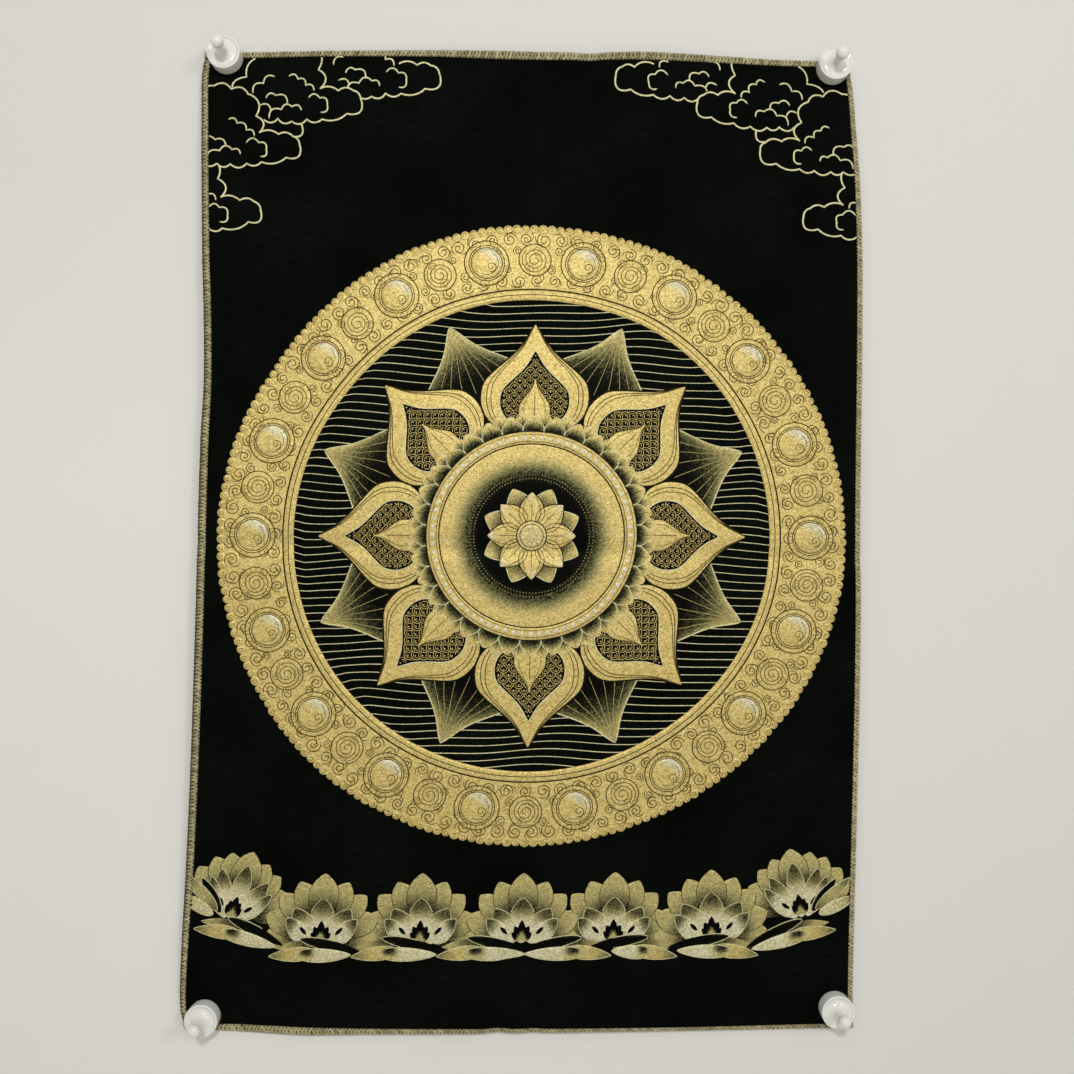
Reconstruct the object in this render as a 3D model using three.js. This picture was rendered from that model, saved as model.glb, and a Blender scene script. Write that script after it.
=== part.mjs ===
// An embroidered thangka: a black brocade cloth with an overlocked edging, held to a wall by a
// round magnetic pin at each corner. Millimetres, +Z up. The wall is the plane y = 0 behind the
// cloth, the cloth's face looks along -Y, and the origin is the middle of the top edge.

import * as THREE from 'three';

// ---- driving dimensions ----

const CLOTH_THICK = 1.2;
const PIECE_GAP = 0.3; // between one piece and the next
const EDGING_WALL = 0.7; // thickness of the thread on each side of the cloth
const EDGING_HALF = CLOTH_THICK / 2 + PIECE_GAP + EDGING_WALL;
const EDGE_INSET = PIECE_GAP + EDGING_WALL; // from the edging's outer line in to the cloth's own edge

// The outer line of the edging. across is measured from the middle, down from the top, and reach
// is how far the edging's thread runs in over the face of the cloth.
const TOP_EDGE = [
  { across: -296, down: 2.5, reach: 5.0 },
  { across: -262, down: 2.9, reach: 4.6 },
  { across: -184, down: 1.9, reach: 4.5 },
  { across: -91, down: 1.9, reach: 5.2 },
  { across: -29, down: 3, reach: 6.8 },
  { across: 14, down: 4.4, reach: 6.6 },
  { across: 63, down: 4.9, reach: 6.0 },
  { across: 105, down: 3.9, reach: 6.6 },
  { across: 159, down: 6.3, reach: 6.0 },
  { across: 216, down: 9.5, reach: 5.0 },
  { across: 293, down: 11.5, reach: 4.6 },
];
const BOTTOM_EDGE = [
  { across: -315, down: 900, reach: 4.2 },
  { across: -259, down: 902.1, reach: 6.1 },
  { across: -202, down: 904.6, reach: 6.5 },
  { across: -146, down: 903.5, reach: 4.5 },
  { across: -47, down: 902.7, reach: 3.5 },
  { across: -26, down: 902.4, reach: 3.2 },
  { across: 102, down: 901.2, reach: 2.4 },
  { across: 178, down: 900.3, reach: 2.5 },
  { across: 298, down: 898.8, reach: 3.4 },
];
const LEFT_EDGE = [
  { down: 2.5, across: -296, reach: 5.0 },
  { down: 25, across: -299.6, reach: 5.4 },
  { down: 45, across: -300, reach: 5.4 },
  { down: 190, across: -298, reach: 6.0 },
  { down: 240, across: -296.6, reach: 6.2 },
  { down: 305, across: -296.4, reach: 6.3 },
  { down: 360, across: -299.4, reach: 6.8 },
  { down: 517, across: -303.7, reach: 6.7 },
  { down: 650, across: -308.5, reach: 6.6 },
  { down: 760, across: -314.1, reach: 6.4 },
  { down: 845, across: -319.3, reach: 5.2 },
  { down: 880, across: -319.6, reach: 4.7 },
  { down: 900, across: -315, reach: 4.4 },
];
const RIGHT_EDGE = [
  { down: 11.5, across: 293, reach: 4.2 },
  { down: 38, across: 298.4, reach: 4.0 },
  { down: 72, across: 301, reach: 4.0 },
  { down: 129, across: 305, reach: 4.1 },
  { down: 213, across: 306.7, reach: 4.2 },
  { down: 432, across: 304.1, reach: 4.1 },
  { down: 517, across: 304.7, reach: 4.1 },
  { down: 652, across: 302.8, reach: 4.0 },
  { down: 837, across: 298.6, reach: 3.8 },
  { down: 898.8, across: 298, reach: 3.6 },
];

// How the cloth stands off the wall. A swell is a broad soft rise round its middle.
const SWELLS = [
  { name: 'belly', across: 10, down: 430, wide: 250, tall: 370, rise: 4.5 },
  { name: 'left edge', across: -312, down: 500, wide: 62, tall: 300, rise: 6 },
  { name: 'left shoulder', across: -302, down: 200, wide: 48, tall: 120, rise: 2.5 },
  { name: 'right edge', across: 308, down: 420, wide: 55, tall: 260, rise: 3 },
  { name: 'foot', across: -70, down: 905, wide: 190, tall: 75, rise: 3 },
  { name: 'head', across: 50, down: 4, wide: 150, tall: 70, rise: 3 },
];
// A fold is a soft ridge, or a trough where the rise is negative, along a straight line.
const FOLDS = [
  { name: 'storage crease', from: [-306, 453], to: [307, 468], wide: 9, rise: -1.6 },
  { name: 'foot trough', from: [-17, 838], to: [-28, 905], wide: 9, rise: -3 },
  { name: 'foot second trough', from: [6, 868], to: [4, 905], wide: 8, rise: -2 },
  { name: 'corner fold', from: [-290, 846], to: [-246, 884], wide: 9, rise: 3 },
  { name: 'head trough', from: [57, 6], to: [52, 60], wide: 10, rise: -2.5 },
  { name: 'left flute', from: [-262, 520], to: [-272, 760], wide: 26, rise: -2.5 },
];

// The pins press the cloth flat to the wall round their feet.
const PINS = [
  { name: 'pin_top_left', across: -276, down: 9 },
  { name: 'pin_top_right', across: 279, down: 18.8 },
  { name: 'pin_bottom_left', across: -296.5, down: 886.8 },
  { name: 'pin_bottom_right', across: 281, down: 879 },
];
const PIN_GRIP = 20; // radius that lies dead flat
const FOLD_RELEASE = 34; // a fold is whole again this far from a pin
const SWELL_RELEASE = 95; // and a swell this far
const PIN_FOOT_RADIUS = 15;
const PIN_FOOT_DEPTH = 13;
const PIN_RIM_ROUND = 0.8;
const PIN_DISH = 0.5; // the foot's face lies this far below its rim
const PIN_NECK_RADIUS = 3.2;
const PIN_FLARE_RADIUS = 11;
const PIN_BALL_RADIUS = 5.9;
const PIN_BALL_MIDDLE = 31.5; // above the pin's back
const PIN_SIDES = 20;

// Spacing of the cloth's facets: closer at the edges and where narrow folds run.
const COLUMN_BANDS = [
  { end: -297.5, steps: 1 },
  { end: -258, steps: 4 },
  { end: -46, steps: 7 },
  { end: 18, steps: 8 },
  { end: 258, steps: 8 },
  { end: 297.5, steps: 4 },
  { end: 303, steps: 1 },
];
const ROW_BANDS = [
  { end: 5.5, steps: 1 },
  { end: 65, steps: 6 },
  { end: 435, steps: 13 },
  { end: 487, steps: 6 },
  { end: 825, steps: 12 },
  { end: 897.5, steps: 7 },
  { end: 903, steps: 1 },
];
const COLUMN_START = -303;
const ROW_START = 0;

// ---- materials ----

const cloth = new THREE.MeshStandardMaterial({ color: 0x0b0d0a, roughness: 0.75, metalness: 0 });
const thread = new THREE.MeshStandardMaterial({ color: 0x8f8660, roughness: 0.6, metalness: 0.2 });
const plastic = new THREE.MeshStandardMaterial({ color: 0xeceae0, roughness: 0.25, metalness: 0 });

// ---- small helpers ----

const mix = (a, b, t) => a + (b - a) * t;

function smooth(from, to, value) {
  const t = Math.min(Math.max((value - from) / (to - from), 0), 1);
  return t * t * (3 - 2 * t);
}

// The value of one column of a table at a place along another: a smooth curve through the rows.
function follow(rows, along, column, place) {
  const last = rows.length - 1;
  let k = 0;
  while (k < last - 1 && place > rows[k + 1][along]) k += 1;
  const slope = (n) => {
    const low = rows[Math.max(n - 1, 0)];
    const high = rows[Math.min(n + 1, last)];
    return (high[column] - low[column]) / (high[along] - low[along]);
  };
  const span = rows[k + 1][along] - rows[k][along];
  const t = (place - rows[k][along]) / span;
  const start = rows[k][column] * (1 + 2 * t) * (1 - t) ** 2;
  const end = rows[k + 1][column] * t * t * (3 - 2 * t);
  return start + end + span * t * (1 - t) * (slope(k) * (1 - t) - slope(k + 1) * t);
}

// Fractions from 0 to 1 that divide a run into bands of even steps.
function stations(start, bands) {
  const whole = bands[bands.length - 1].end - start;
  const found = [0];
  let low = start;
  for (const { end, steps } of bands) {
    for (let n = 1; n <= steps; n += 1) found.push((mix(low, end, n / steps) - start) / whole);
    low = end;
  }
  return found;
}

// ---- the cloth's shape ----

function swellHeight({ across, down, wide, tall, rise }, x, z) {
  return rise * Math.exp(-(((x - across) / wide) ** 2) - ((-z - down) / tall) ** 2);
}

function foldHeight({ from, to, wide, rise }, x, z) {
  const run = [to[0] - from[0], to[1] - from[1]];
  const here = [x - from[0], -z - from[1]];
  const t = (here[0] * run[0] + here[1] * run[1]) / (run[0] ** 2 + run[1] ** 2);
  const held = Math.min(Math.max(t, 0), 1);
  const away = Math.hypot(here[0] - held * run[0], here[1] - held * run[1]);
  return rise * Math.exp(-((away / wide) ** 2));
}

function pinRelease(x, z, radius) {
  return PINS.reduce((part, { across, down }) => {
    const away = Math.hypot(x - across, -z - down);
    return part * smooth(PIN_GRIP, radius, away);
  }, 1);
}

// How far the middle of the cloth lies in front of the wall.
function standOff(x, z) {
  const swell = SWELLS.reduce((sum, row) => sum + swellHeight(row, x, z), 0);
  const fold = FOLDS.reduce((sum, row) => sum + foldHeight(row, x, z), 0);
  const rise = swell * pinRelease(x, z, SWELL_RELEASE) + fold * pinRelease(x, z, FOLD_RELEASE);
  return EDGING_HALF + Math.max(rise, 0);
}

// The cloth's own four edges, each as x and z at a fraction along it.
const corner = (rows, n) => rows[n === 0 ? 0 : rows.length - 1];

function levelEdge(rows, fraction, inset) {
  const first = corner(rows, 0).across + EDGE_INSET;
  const final = corner(rows, 1).across - EDGE_INSET;
  const x = mix(first, final, fraction);
  return { x, z: -follow(rows, 'across', 'down', x) + inset, reach: follow(rows, 'across', 'reach', x) };
}

function uprightEdge(rows, fraction, inset) {
  const down = mix(corner(rows, 0).down + EDGE_INSET, corner(rows, 1).down - EDGE_INSET, fraction);
  const x = follow(rows, 'down', 'across', down) + inset;
  return { x, z: -down, reach: follow(rows, 'down', 'reach', down) };
}

const topAt = (u) => levelEdge(TOP_EDGE, u, -EDGE_INSET);
const bottomAt = (u) => levelEdge(BOTTOM_EDGE, u, EDGE_INSET);
const leftAt = (v) => uprightEdge(LEFT_EDGE, v, EDGE_INSET);
const rightAt = (v) => uprightEdge(RIGHT_EDGE, v, -EDGE_INSET);

// A point of the cloth between its four edges: u runs across, v runs down.
function between(u, v) {
  const [top, bottom, left, right] = [topAt(u), bottomAt(u), leftAt(v), rightAt(v)];
  const blend = (key) => {
    const edges = mix(left[key], right[key], u) + mix(top[key], bottom[key], v);
    const head = mix(topAt(0)[key], topAt(1)[key], u);
    const foot = mix(bottomAt(0)[key], bottomAt(1)[key], u);
    return edges - mix(head, foot, v);
  };
  return { x: blend('x'), z: blend('z') };
}

// Moves the point next to an edge to where the edging's thread ends.
function stepIn(edge, inner, reach) {
  const length = Math.hypot(inner.x - edge.x, inner.z - edge.z);
  return { x: mix(edge.x, inner.x, reach / length), z: mix(edge.z, inner.z, reach / length) };
}

const columns = stations(COLUMN_START, COLUMN_BANDS);
const rows = stations(ROW_START, ROW_BANDS);
const lastColumn = columns.length - 1;
const lastRow = rows.length - 1;

function makeLattice() {
  const lattice = columns.map((u) => rows.map((v) => between(u, v)));
  rows.forEach((v, j) => {
    const line = lattice.map((column) => column[j]);
    lattice[1][j] = stepIn(line[0], line[2], leftAt(v).reach);
    lattice[lastColumn - 1][j] = stepIn(line[lastColumn], line[lastColumn - 2], rightAt(v).reach);
  });
  columns.forEach((u, i) => {
    const line = lattice[i];
    line[1] = stepIn(line[0], line[2], topAt(u).reach);
    line[lastRow - 1] = stepIn(line[lastRow], line[lastRow - 2], bottomAt(u).reach);
  });
  for (const column of lattice) {
    for (const point of column) point.y = -standOff(point.x, point.z);
  }
  return lattice;
}

const lattice = makeLattice();

// ---- geometry from points ----

function geometryOf(points, faces) {
  const geometry = new THREE.BufferGeometry();
  geometry.setAttribute('position', new THREE.Float32BufferAttribute(points.flat(), 3));
  geometry.setIndex(faces.flatMap(([a, b, c, d]) => [a, b, c, a, c, d]));
  geometry.computeVertexNormals();
  return geometry;
}

function makePanel() {
  const points = [];
  const faces = [];
  const index = (i, j, side) => (i * (lastRow + 1) + j) * 2 + side; // side 0 is the face, 1 the back
  for (const column of lattice) {
    for (const { x, y, z } of column) points.push([x, y - CLOTH_THICK / 2, z], [x, y + CLOTH_THICK / 2, z]);
  }
  for (let i = 0; i < lastColumn; i += 1) {
    for (let j = 0; j < lastRow; j += 1) {
      const round = [[i, j], [i, j + 1], [i + 1, j + 1], [i + 1, j]];
      const [a, b, c, d] = round.map(([m, n]) => index(m, n, 1));
      faces.push(round.map(([m, n]) => index(m, n, 0)), [a, d, c, b]);
    }
  }
  // The narrow side between two neighbours on the rim, taken with the cloth on their right.
  const side = ([i, j], [m, n]) => [index(i, j, 0), index(m, n, 0), index(m, n, 1), index(i, j, 1)];
  for (let i = 0; i < lastColumn; i += 1) {
    faces.push(side([i, 0], [i + 1, 0]), side([i + 1, lastRow], [i, lastRow]));
  }
  for (let j = 0; j < lastRow; j += 1) {
    faces.push(side([0, j + 1], [0, j]), side([lastColumn, j], [lastColumn, j + 1]));
  }
  return geometryOf(points, faces);
}

// The edging's section at one place is a U that opens inwards round the cloth's edge: eight points,
// from the end of its inner face on the front, round the cloth's edge, to the end of its outer one.
function edgingSection(edge, inner) {
  const length = Math.hypot(edge.x - inner.x, edge.z - inner.z);
  const out = [(edge.x - inner.x) / length, (edge.z - inner.z) / length];
  const slot = CLOTH_THICK / 2 + PIECE_GAP;
  const at = ({ x, y, z }, past, depth) => [x + out[0] * past, y + depth, z + out[1] * past];
  return [
    at(inner, 0, -slot),
    at(edge, PIECE_GAP, -slot),
    at(edge, PIECE_GAP, slot),
    at(inner, 0, slot),
    at(inner, 0, EDGING_HALF),
    at(edge, EDGE_INSET, EDGING_HALF),
    at(edge, EDGE_INSET, -EDGING_HALF),
    at(inner, 0, -EDGING_HALF),
  ];
}

// Joins sections in order, closed by three four-sided caps at each end. low says that the strip
// runs on the side where the lattice starts, and forward that its faces come out outwards as
// they are. The slot's faces are split on the same diagonals as the cloth inside it.
function makeEdging(edges, inners, forward, low) {
  const sections = edges.map((edge, n) => edgingSection(edge, inners[n]));
  const size = sections[0].length;
  const faces = [];
  for (let n = 0; n < sections.length - 1; n += 1) {
    for (let k = 0; k < size; k += 1) {
      const next = (k + 1) % size;
      const [a, b, c, d] = [n * size + k, n * size + next, (n + 1) * size + next, (n + 1) * size + k];
      const otherDiagonal = (k < 2) === low;
      faces.push(otherDiagonal ? [b, c, d, a] : [a, b, c, d]);
    }
  }
  const end = (sections.length - 1) * size;
  for (const [a, b, c, d] of [[0, 1, 6, 7], [1, 2, 5, 6], [2, 3, 4, 5]]) {
    faces.push([a, d, c, b], [end + a, end + b, end + c, end + d]);
  }
  const turned = forward ? faces : faces.map(([a, b, c, d]) => [a, d, c, b]);
  return geometryOf(sections.flat(), turned);
}

// A point a set distance beyond the first of two, on the line through them.
function beyond(first, second, distance) {
  const share = -distance / Math.hypot(second.x - first.x, second.z - first.z);
  return {
    x: mix(first.x, second.x, share),
    y: mix(first.y, second.y, share),
    z: mix(first.z, second.z, share),
  };
}

// The level strips run past the cloth's corners, and the upright ones stop short of them.
function levelStrip(edgeRow, innerRow) {
  const lines = [edgeRow, innerRow].map((j) => {
    const line = lattice.map((column) => column[j]);
    const start = beyond(line[0], line[1], EDGE_INSET);
    const finish = beyond(line[lastColumn], line[lastColumn - 1], EDGE_INSET);
    return [start, ...line.slice(1, lastColumn), finish];
  });
  const low = edgeRow < innerRow;
  return makeEdging(lines[0], lines[1], low, low);
}

function uprightStrip(edgeColumn, innerColumn) {
  const lines = [edgeColumn, innerColumn].map((i) => {
    const line = lattice[i].slice(1, lastRow);
    const final = line.length - 1;
    const start = beyond(line[0], line[1], -PIECE_GAP);
    const finish = beyond(line[final], line[final - 1], -PIECE_GAP);
    return [start, ...line.slice(1, final), finish];
  });
  const low = edgeColumn < innerColumn;
  return makeEdging(lines[0], lines[1], !low, low);
}

// A pin is turned about its own axis: foot, rounded rim, dished face, flared neck and ball.
function makePin() {
  const profile = [[0, 0], [PIN_FOOT_RADIUS, 0]];
  profile.push([PIN_FOOT_RADIUS, PIN_FOOT_DEPTH - PIN_RIM_ROUND]);
  profile.push([PIN_FOOT_RADIUS - PIN_RIM_ROUND, PIN_FOOT_DEPTH]);
  profile.push([PIN_FOOT_RADIUS - 2 * PIN_RIM_ROUND, PIN_FOOT_DEPTH - PIN_DISH]);
  const neckAngle = Math.asin(PIN_NECK_RADIUS / PIN_BALL_RADIUS);
  const face = PIN_FOOT_DEPTH - PIN_DISH;
  const neckTop = PIN_BALL_MIDDLE - PIN_BALL_RADIUS * Math.cos(neckAngle);
  const flareSteps = 5;
  for (let n = 0; n < flareSteps; n += 1) {
    const t = n / flareSteps;
    profile.push([mix(PIN_FLARE_RADIUS, PIN_NECK_RADIUS, 1 - (1 - t) ** 2.6), mix(face, neckTop, t ** 1.5)]);
  }
  const ballSteps = 7;
  for (let n = 0; n < ballSteps; n += 1) {
    const angle = mix(neckAngle, Math.PI, n / ballSteps);
    profile.push([
      PIN_BALL_RADIUS * Math.sin(angle),
      PIN_BALL_MIDDLE - PIN_BALL_RADIUS * Math.cos(angle),
    ]);
  }
  profile.push([0, PIN_BALL_MIDDLE + PIN_BALL_RADIUS]);
  return new THREE.LatheGeometry(profile.map(([r, h]) => new THREE.Vector2(r, h)), PIN_SIDES);
}

// ---- the scene graph ----

const thangka = new THREE.Group();

function add(name, geometry, material) {
  const mesh = new THREE.Mesh(geometry, material);
  mesh.name = name;
  thangka.add(mesh);
  return mesh;
}

add('cloth_panel', makePanel(), cloth);
add('edging_top', levelStrip(0, 1), thread);
add('edging_bottom', levelStrip(lastRow, lastRow - 1), thread);
add('edging_left', uprightStrip(0, 1), thread);
add('edging_right', uprightStrip(lastColumn, lastColumn - 1), thread);

const pinGeometry = makePin();
for (const { name, across, down } of PINS) {
  const pin = add(name, pinGeometry, plastic);
  pin.rotation.x = Math.PI; // the ball looks away from the wall
  pin.position.set(across, -2 * EDGING_HALF - PIECE_GAP, -down);
}

export default thangka;
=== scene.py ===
# %% [markdown]
# # A thangka of black brocade, pinned to a wall
# This lesson dresses a wall hanging about 0.61 m wide and 0.90 m tall: a black cloth with a design
# in gold thread, an overlocked edging, and a white magnetic pin at each corner. Every new piece is
# a surface worked out with numpy from a formula, and every finish is made of shader nodes.
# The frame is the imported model. Its nodes say where each piece is, and nothing moves them.

# %% Load the frame
import bmesh
import bpy
import mathutils
import numpy as np
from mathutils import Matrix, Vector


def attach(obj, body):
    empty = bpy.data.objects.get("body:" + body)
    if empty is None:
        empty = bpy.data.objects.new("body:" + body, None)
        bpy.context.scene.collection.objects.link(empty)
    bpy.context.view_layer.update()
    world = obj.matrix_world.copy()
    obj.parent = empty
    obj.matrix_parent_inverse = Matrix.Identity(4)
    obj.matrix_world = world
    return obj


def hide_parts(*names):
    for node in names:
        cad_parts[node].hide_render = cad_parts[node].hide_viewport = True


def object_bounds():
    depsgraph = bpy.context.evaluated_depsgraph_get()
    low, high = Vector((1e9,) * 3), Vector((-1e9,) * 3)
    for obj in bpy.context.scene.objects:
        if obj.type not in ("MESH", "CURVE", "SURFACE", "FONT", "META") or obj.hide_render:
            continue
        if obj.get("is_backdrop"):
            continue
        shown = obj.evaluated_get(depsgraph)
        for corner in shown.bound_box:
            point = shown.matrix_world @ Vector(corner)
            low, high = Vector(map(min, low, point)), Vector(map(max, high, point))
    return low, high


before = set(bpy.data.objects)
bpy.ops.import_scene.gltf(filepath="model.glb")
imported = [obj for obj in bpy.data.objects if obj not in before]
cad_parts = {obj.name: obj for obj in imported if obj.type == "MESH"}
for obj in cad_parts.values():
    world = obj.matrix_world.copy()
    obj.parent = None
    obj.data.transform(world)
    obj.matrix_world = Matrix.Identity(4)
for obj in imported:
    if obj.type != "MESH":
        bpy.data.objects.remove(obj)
cad_box = [list(corner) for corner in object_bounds()]
MM = 0.001
print("frame box in mm", [[round(value / MM, 1) for value in corner] for corner in cad_box])

# %% [markdown]
# ## The camera
# The hanging is seen square on from about a metre, so the pins lean outwards in the view as
# upright things do under a close lens. The camera looks along +Y. A small lens shift, and not a
# tilt, puts the cloth in its place in the frame, so its upright edges stay upright.

# %% The camera
EYE_DISTANCE = 0.99
EYE_ACROSS = 0.0018
EYE_DOWN = 0.4646
VIEW_WIDTH = 0.988  # how much of the wall the lens takes in
SENSOR = 36.0
LENS_SHIFT = (0.0065, 0.0168)

camera_data = bpy.data.cameras.new("camera")
camera_data.sensor_width = SENSOR
camera_data.lens = SENSOR * EYE_DISTANCE / VIEW_WIDTH
camera_data.shift_x, camera_data.shift_y = LENS_SHIFT
camera = bpy.data.objects.new("camera", camera_data)
camera.location = (EYE_ACROSS, -EYE_DISTANCE, -EYE_DOWN)
camera.rotation_euler = (np.pi / 2, 0, 0)
bpy.context.scene.collection.objects.link(camera)
bpy.context.scene.camera = camera
print("lens", round(camera_data.lens, 1), "mm")

# %% [markdown]
# ## How the cloth hangs
# A cloth is cut flat, and hangs with edges that are never quite straight. Short tables say how
# this one hangs: the line of each edge, the broad swells that stand off the wall, the narrow
# folds, and the pins that press it flat. A smooth curve is drawn through each edge's rows, so few
# are enough. A cloth simulation could find such a shape too, but a table puts each fold where it
# is wanted. The sizes are in millimetres and become metres once, when a point is placed.

# %% The cloth's sizes and tables, in millimetres
CLOTH_THICK = 1.2
EDGING_HALF = 1.6
EDGE_INSET = 1.0  # from the edging's outer line in to the cloth's own edge
HALF_FLAT = 300.0  # the flat cloth runs from -300 to 300 across
FLAT_LENGTH = 900.0  # and from 0 to 900 down

# across, down, reach of the edging over the cloth
TOP_EDGE = np.array([
    (-296, 2.5, 5.0), (-262, 2.9, 4.6), (-184, 1.9, 4.5), (-91, 1.9, 5.2), (-29, 3, 6.8),
    (14, 4.4, 6.6), (63, 4.9, 6.0), (105, 3.9, 6.6), (159, 6.3, 6.0), (216, 9.5, 5.0),
    (293, 11.5, 4.6),
])
BOTTOM_EDGE = np.array([
    (-315, 900, 4.2), (-259, 902.1, 6.1), (-202, 904.6, 6.5), (-146, 903.5, 4.5), (-47, 902.7, 3.5),
    (-26, 902.4, 3.2), (102, 901.2, 2.4), (178, 900.3, 2.5), (298, 898.8, 3.4),
])
# down, across, reach
LEFT_EDGE = np.array([
    (2.5, -296, 5.0), (25, -299.6, 5.4), (45, -300, 5.4), (190, -298, 6.0), (240, -296.6, 6.2),
    (305, -296.4, 6.3), (360, -299.4, 6.8), (517, -303.7, 6.7), (650, -308.5, 6.6),
    (760, -314.1, 6.4), (845, -319.3, 5.2), (880, -319.6, 4.7), (900, -315, 4.4),
])
RIGHT_EDGE = np.array([
    (11.5, 293, 4.2), (38, 298.4, 4.0), (72, 301, 4.0), (129, 305, 4.1), (213, 306.7, 4.2),
    (432, 304.1, 4.1), (517, 304.7, 4.1), (652, 302.8, 4.0), (837, 298.6, 3.8), (898.8, 298, 3.6),
])
# across, down, how wide, how tall, rise off the wall
SWELLS = [
    (10, 430, 250, 370, 4.5), (-312, 500, 62, 300, 6), (-302, 200, 48, 120, 2.5),
    (308, 420, 55, 260, 3), (-70, 905, 190, 75, 3), (50, 4, 150, 70, 3),
]
# from across, from down, to across, to down, how wide, rise: a trough where the rise is negative
FOLDS = [
    (-306, 453, 307, 468, 9, -1.6), (-17, 838, -28, 905, 9, -3), (6, 868, 4, 905, 8, -2),
    (-290, 846, -246, 884, 9, 3), (57, 6, 52, 60, 10, -2.5), (-262, 520, -272, 760, 26, -2.5),
]
# across, down
PINS = {
    "pin_top_left": (-276, 9),
    "pin_top_right": (279, 18.8),
    "pin_bottom_left": (-296.5, 886.8),
    "pin_bottom_right": (281, 879),
}
PIN_GRIP = 20  # a pin presses the cloth flat this far round it
FOLD_RELEASE = 34  # and from here on folds, and then swells, are whole again
SWELL_RELEASE = 95

# %% Mixing, easing, and reading a table
def mix(a, b, t):
    """The point that lies the share t of the way from a to b."""
    return a + (b - a) * t


def smooth(low, high, value):
    """0 below low, 1 above high, and the cubic 3t^2 - 2t^3 between them."""
    t = np.clip((value - low) / (high - low), 0, 1)
    return t * t * (3 - 2 * t)


def follow(rows, column, place):
    """The smooth curve through a table, read at any places: between two rows it is a cubic that
    leaves each row with the slope of the chord between that row's neighbours."""
    at, value = rows[:, 0], rows[:, column]
    low = np.maximum(np.arange(len(at)) - 1, 0)
    high = np.minimum(np.arange(len(at)) + 1, len(at) - 1)
    slope = (value[high] - value[low]) / (at[high] - at[low])
    k = np.clip(np.searchsorted(at, place, side="right") - 1, 0, len(at) - 2)
    span = at[k + 1] - at[k]
    t = (place - at[k]) / span
    start = value[k] * (1 + 2 * t) * (1 - t) ** 2
    end = value[k + 1] * t * t * (3 - 2 * t)
    return start + end + span * t * (1 - t) * (slope[k] * (1 - t) - slope[k + 1] * t)

# %% How far the cloth stands off the wall
def stand_off(x, down):
    """How far the middle of the cloth lies in front of the wall. A swell is a rise times
    exp(-distance^2) from its middle, a fold is the same from its line, and both die away
    near a pin, which presses the cloth flat."""
    swell = sum(rise * np.exp(-(((x - a) / wide) ** 2) - ((down - d) / tall) ** 2)
                for a, d, wide, tall, rise in SWELLS)
    fold = 0
    for x0, d0, x1, d1, wide, rise in FOLDS:
        run = (x1 - x0, d1 - d0)
        t = np.clip(((x - x0) * run[0] + (down - d0) * run[1]) / (run[0] ** 2 + run[1] ** 2), 0, 1)
        away = np.hypot(x - x0 - t * run[0], down - d0 - t * run[1])
        fold = fold + rise * np.exp(-((away / wide) ** 2))
    for across, pin_down in PINS.values():
        away = np.hypot(x - across, down - pin_down)
        swell = swell * smooth(PIN_GRIP, SWELL_RELEASE, away)
        fold = fold * smooth(PIN_GRIP, FOLD_RELEASE, away)
    return EDGING_HALF + np.maximum(swell + fold, 0)

# %% From the flat cloth to the hung one
def level_edge(rows, u, inset):
    """A point of the top or bottom edge of the cloth, at the share u of the way across."""
    x = mix(rows[0, 0] + EDGE_INSET, rows[-1, 0] - EDGE_INSET, u)
    return np.stack([x, follow(rows, 1, x) + inset], axis=-1)


def upright_edge(rows, v, inset):
    """A point of the left or right edge of the cloth, at the share v of the way down."""
    down = mix(rows[0, 0] + EDGE_INSET, rows[-1, 0] - EDGE_INSET, v)
    return np.stack([follow(rows, 1, down) + inset, down], axis=-1)


def hang(flat):
    """Where points of the flat cloth hang, as across and down. The four edges' curves are
    blended: left to right, plus top to bottom, less the blend of the four corners."""
    u = np.clip((flat[..., 0] + HALF_FLAT) / (2 * HALF_FLAT), 0, 1)
    v = np.clip(flat[..., 1] / FLAT_LENGTH, 0, 1)
    top, bottom = level_edge(TOP_EDGE, u, EDGE_INSET), level_edge(BOTTOM_EDGE, u, -EDGE_INSET)
    left, right = upright_edge(LEFT_EDGE, v, EDGE_INSET), upright_edge(RIGHT_EDGE, v, -EDGE_INSET)
    ends = np.array([0.0, 1.0])
    head = level_edge(TOP_EDGE, ends, EDGE_INSET)
    foot = level_edge(BOTTOM_EDGE, ends, -EDGE_INSET)
    u, v = u[..., None], v[..., None]
    corners = mix(mix(head[0], head[1], u), mix(foot[0], foot[1], u), v)
    return mix(left, right, u) + mix(top, bottom, v) - corners


def drape(flat, lift):
    """Points of the flat cloth as places in metres, lifted off the middle of the cloth."""
    hung = hang(flat)
    depth = stand_off(hung[..., 0], hung[..., 1]) + lift
    return np.stack([hung[..., 0], -depth, -hung[..., 1]], axis=-1) * MM


corners = drape(np.array([[-HALF_FLAT, 0.0], [HALF_FLAT, FLAT_LENGTH]]), 0)
print("hung corners in mm", np.round(corners / MM, 1).tolist())

# %% [markdown]
# ## From arrays to meshes
# A grid of points needs no list of faces by hand: the face of cell (i, j) joins point (i, j) to its
# three neighbours, so all faces come from one array of indices and three shifts. The points and
# faces go into the mesh whole. The flat place of each point becomes its UV, so a weave follows the
# cloth, and two float attributes, tone and pale, say how much gold and cream each point shows.

# %% Grids and parts
def grid_faces(rows, columns, round_columns=False):
    """The four-sided faces of a grid of points in row order. The last column joins the first
    where the grid goes round."""
    index = np.arange(rows * columns).reshape(rows, columns)
    if round_columns:
        index = np.concatenate([index, index[:, :1]], axis=1)
    a, b, c, d = index[:-1, :-1], index[:-1, 1:], index[1:, 1:], index[1:, :-1]
    return np.stack([a, b, c, d], axis=-1).reshape(-1, 4)


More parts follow.
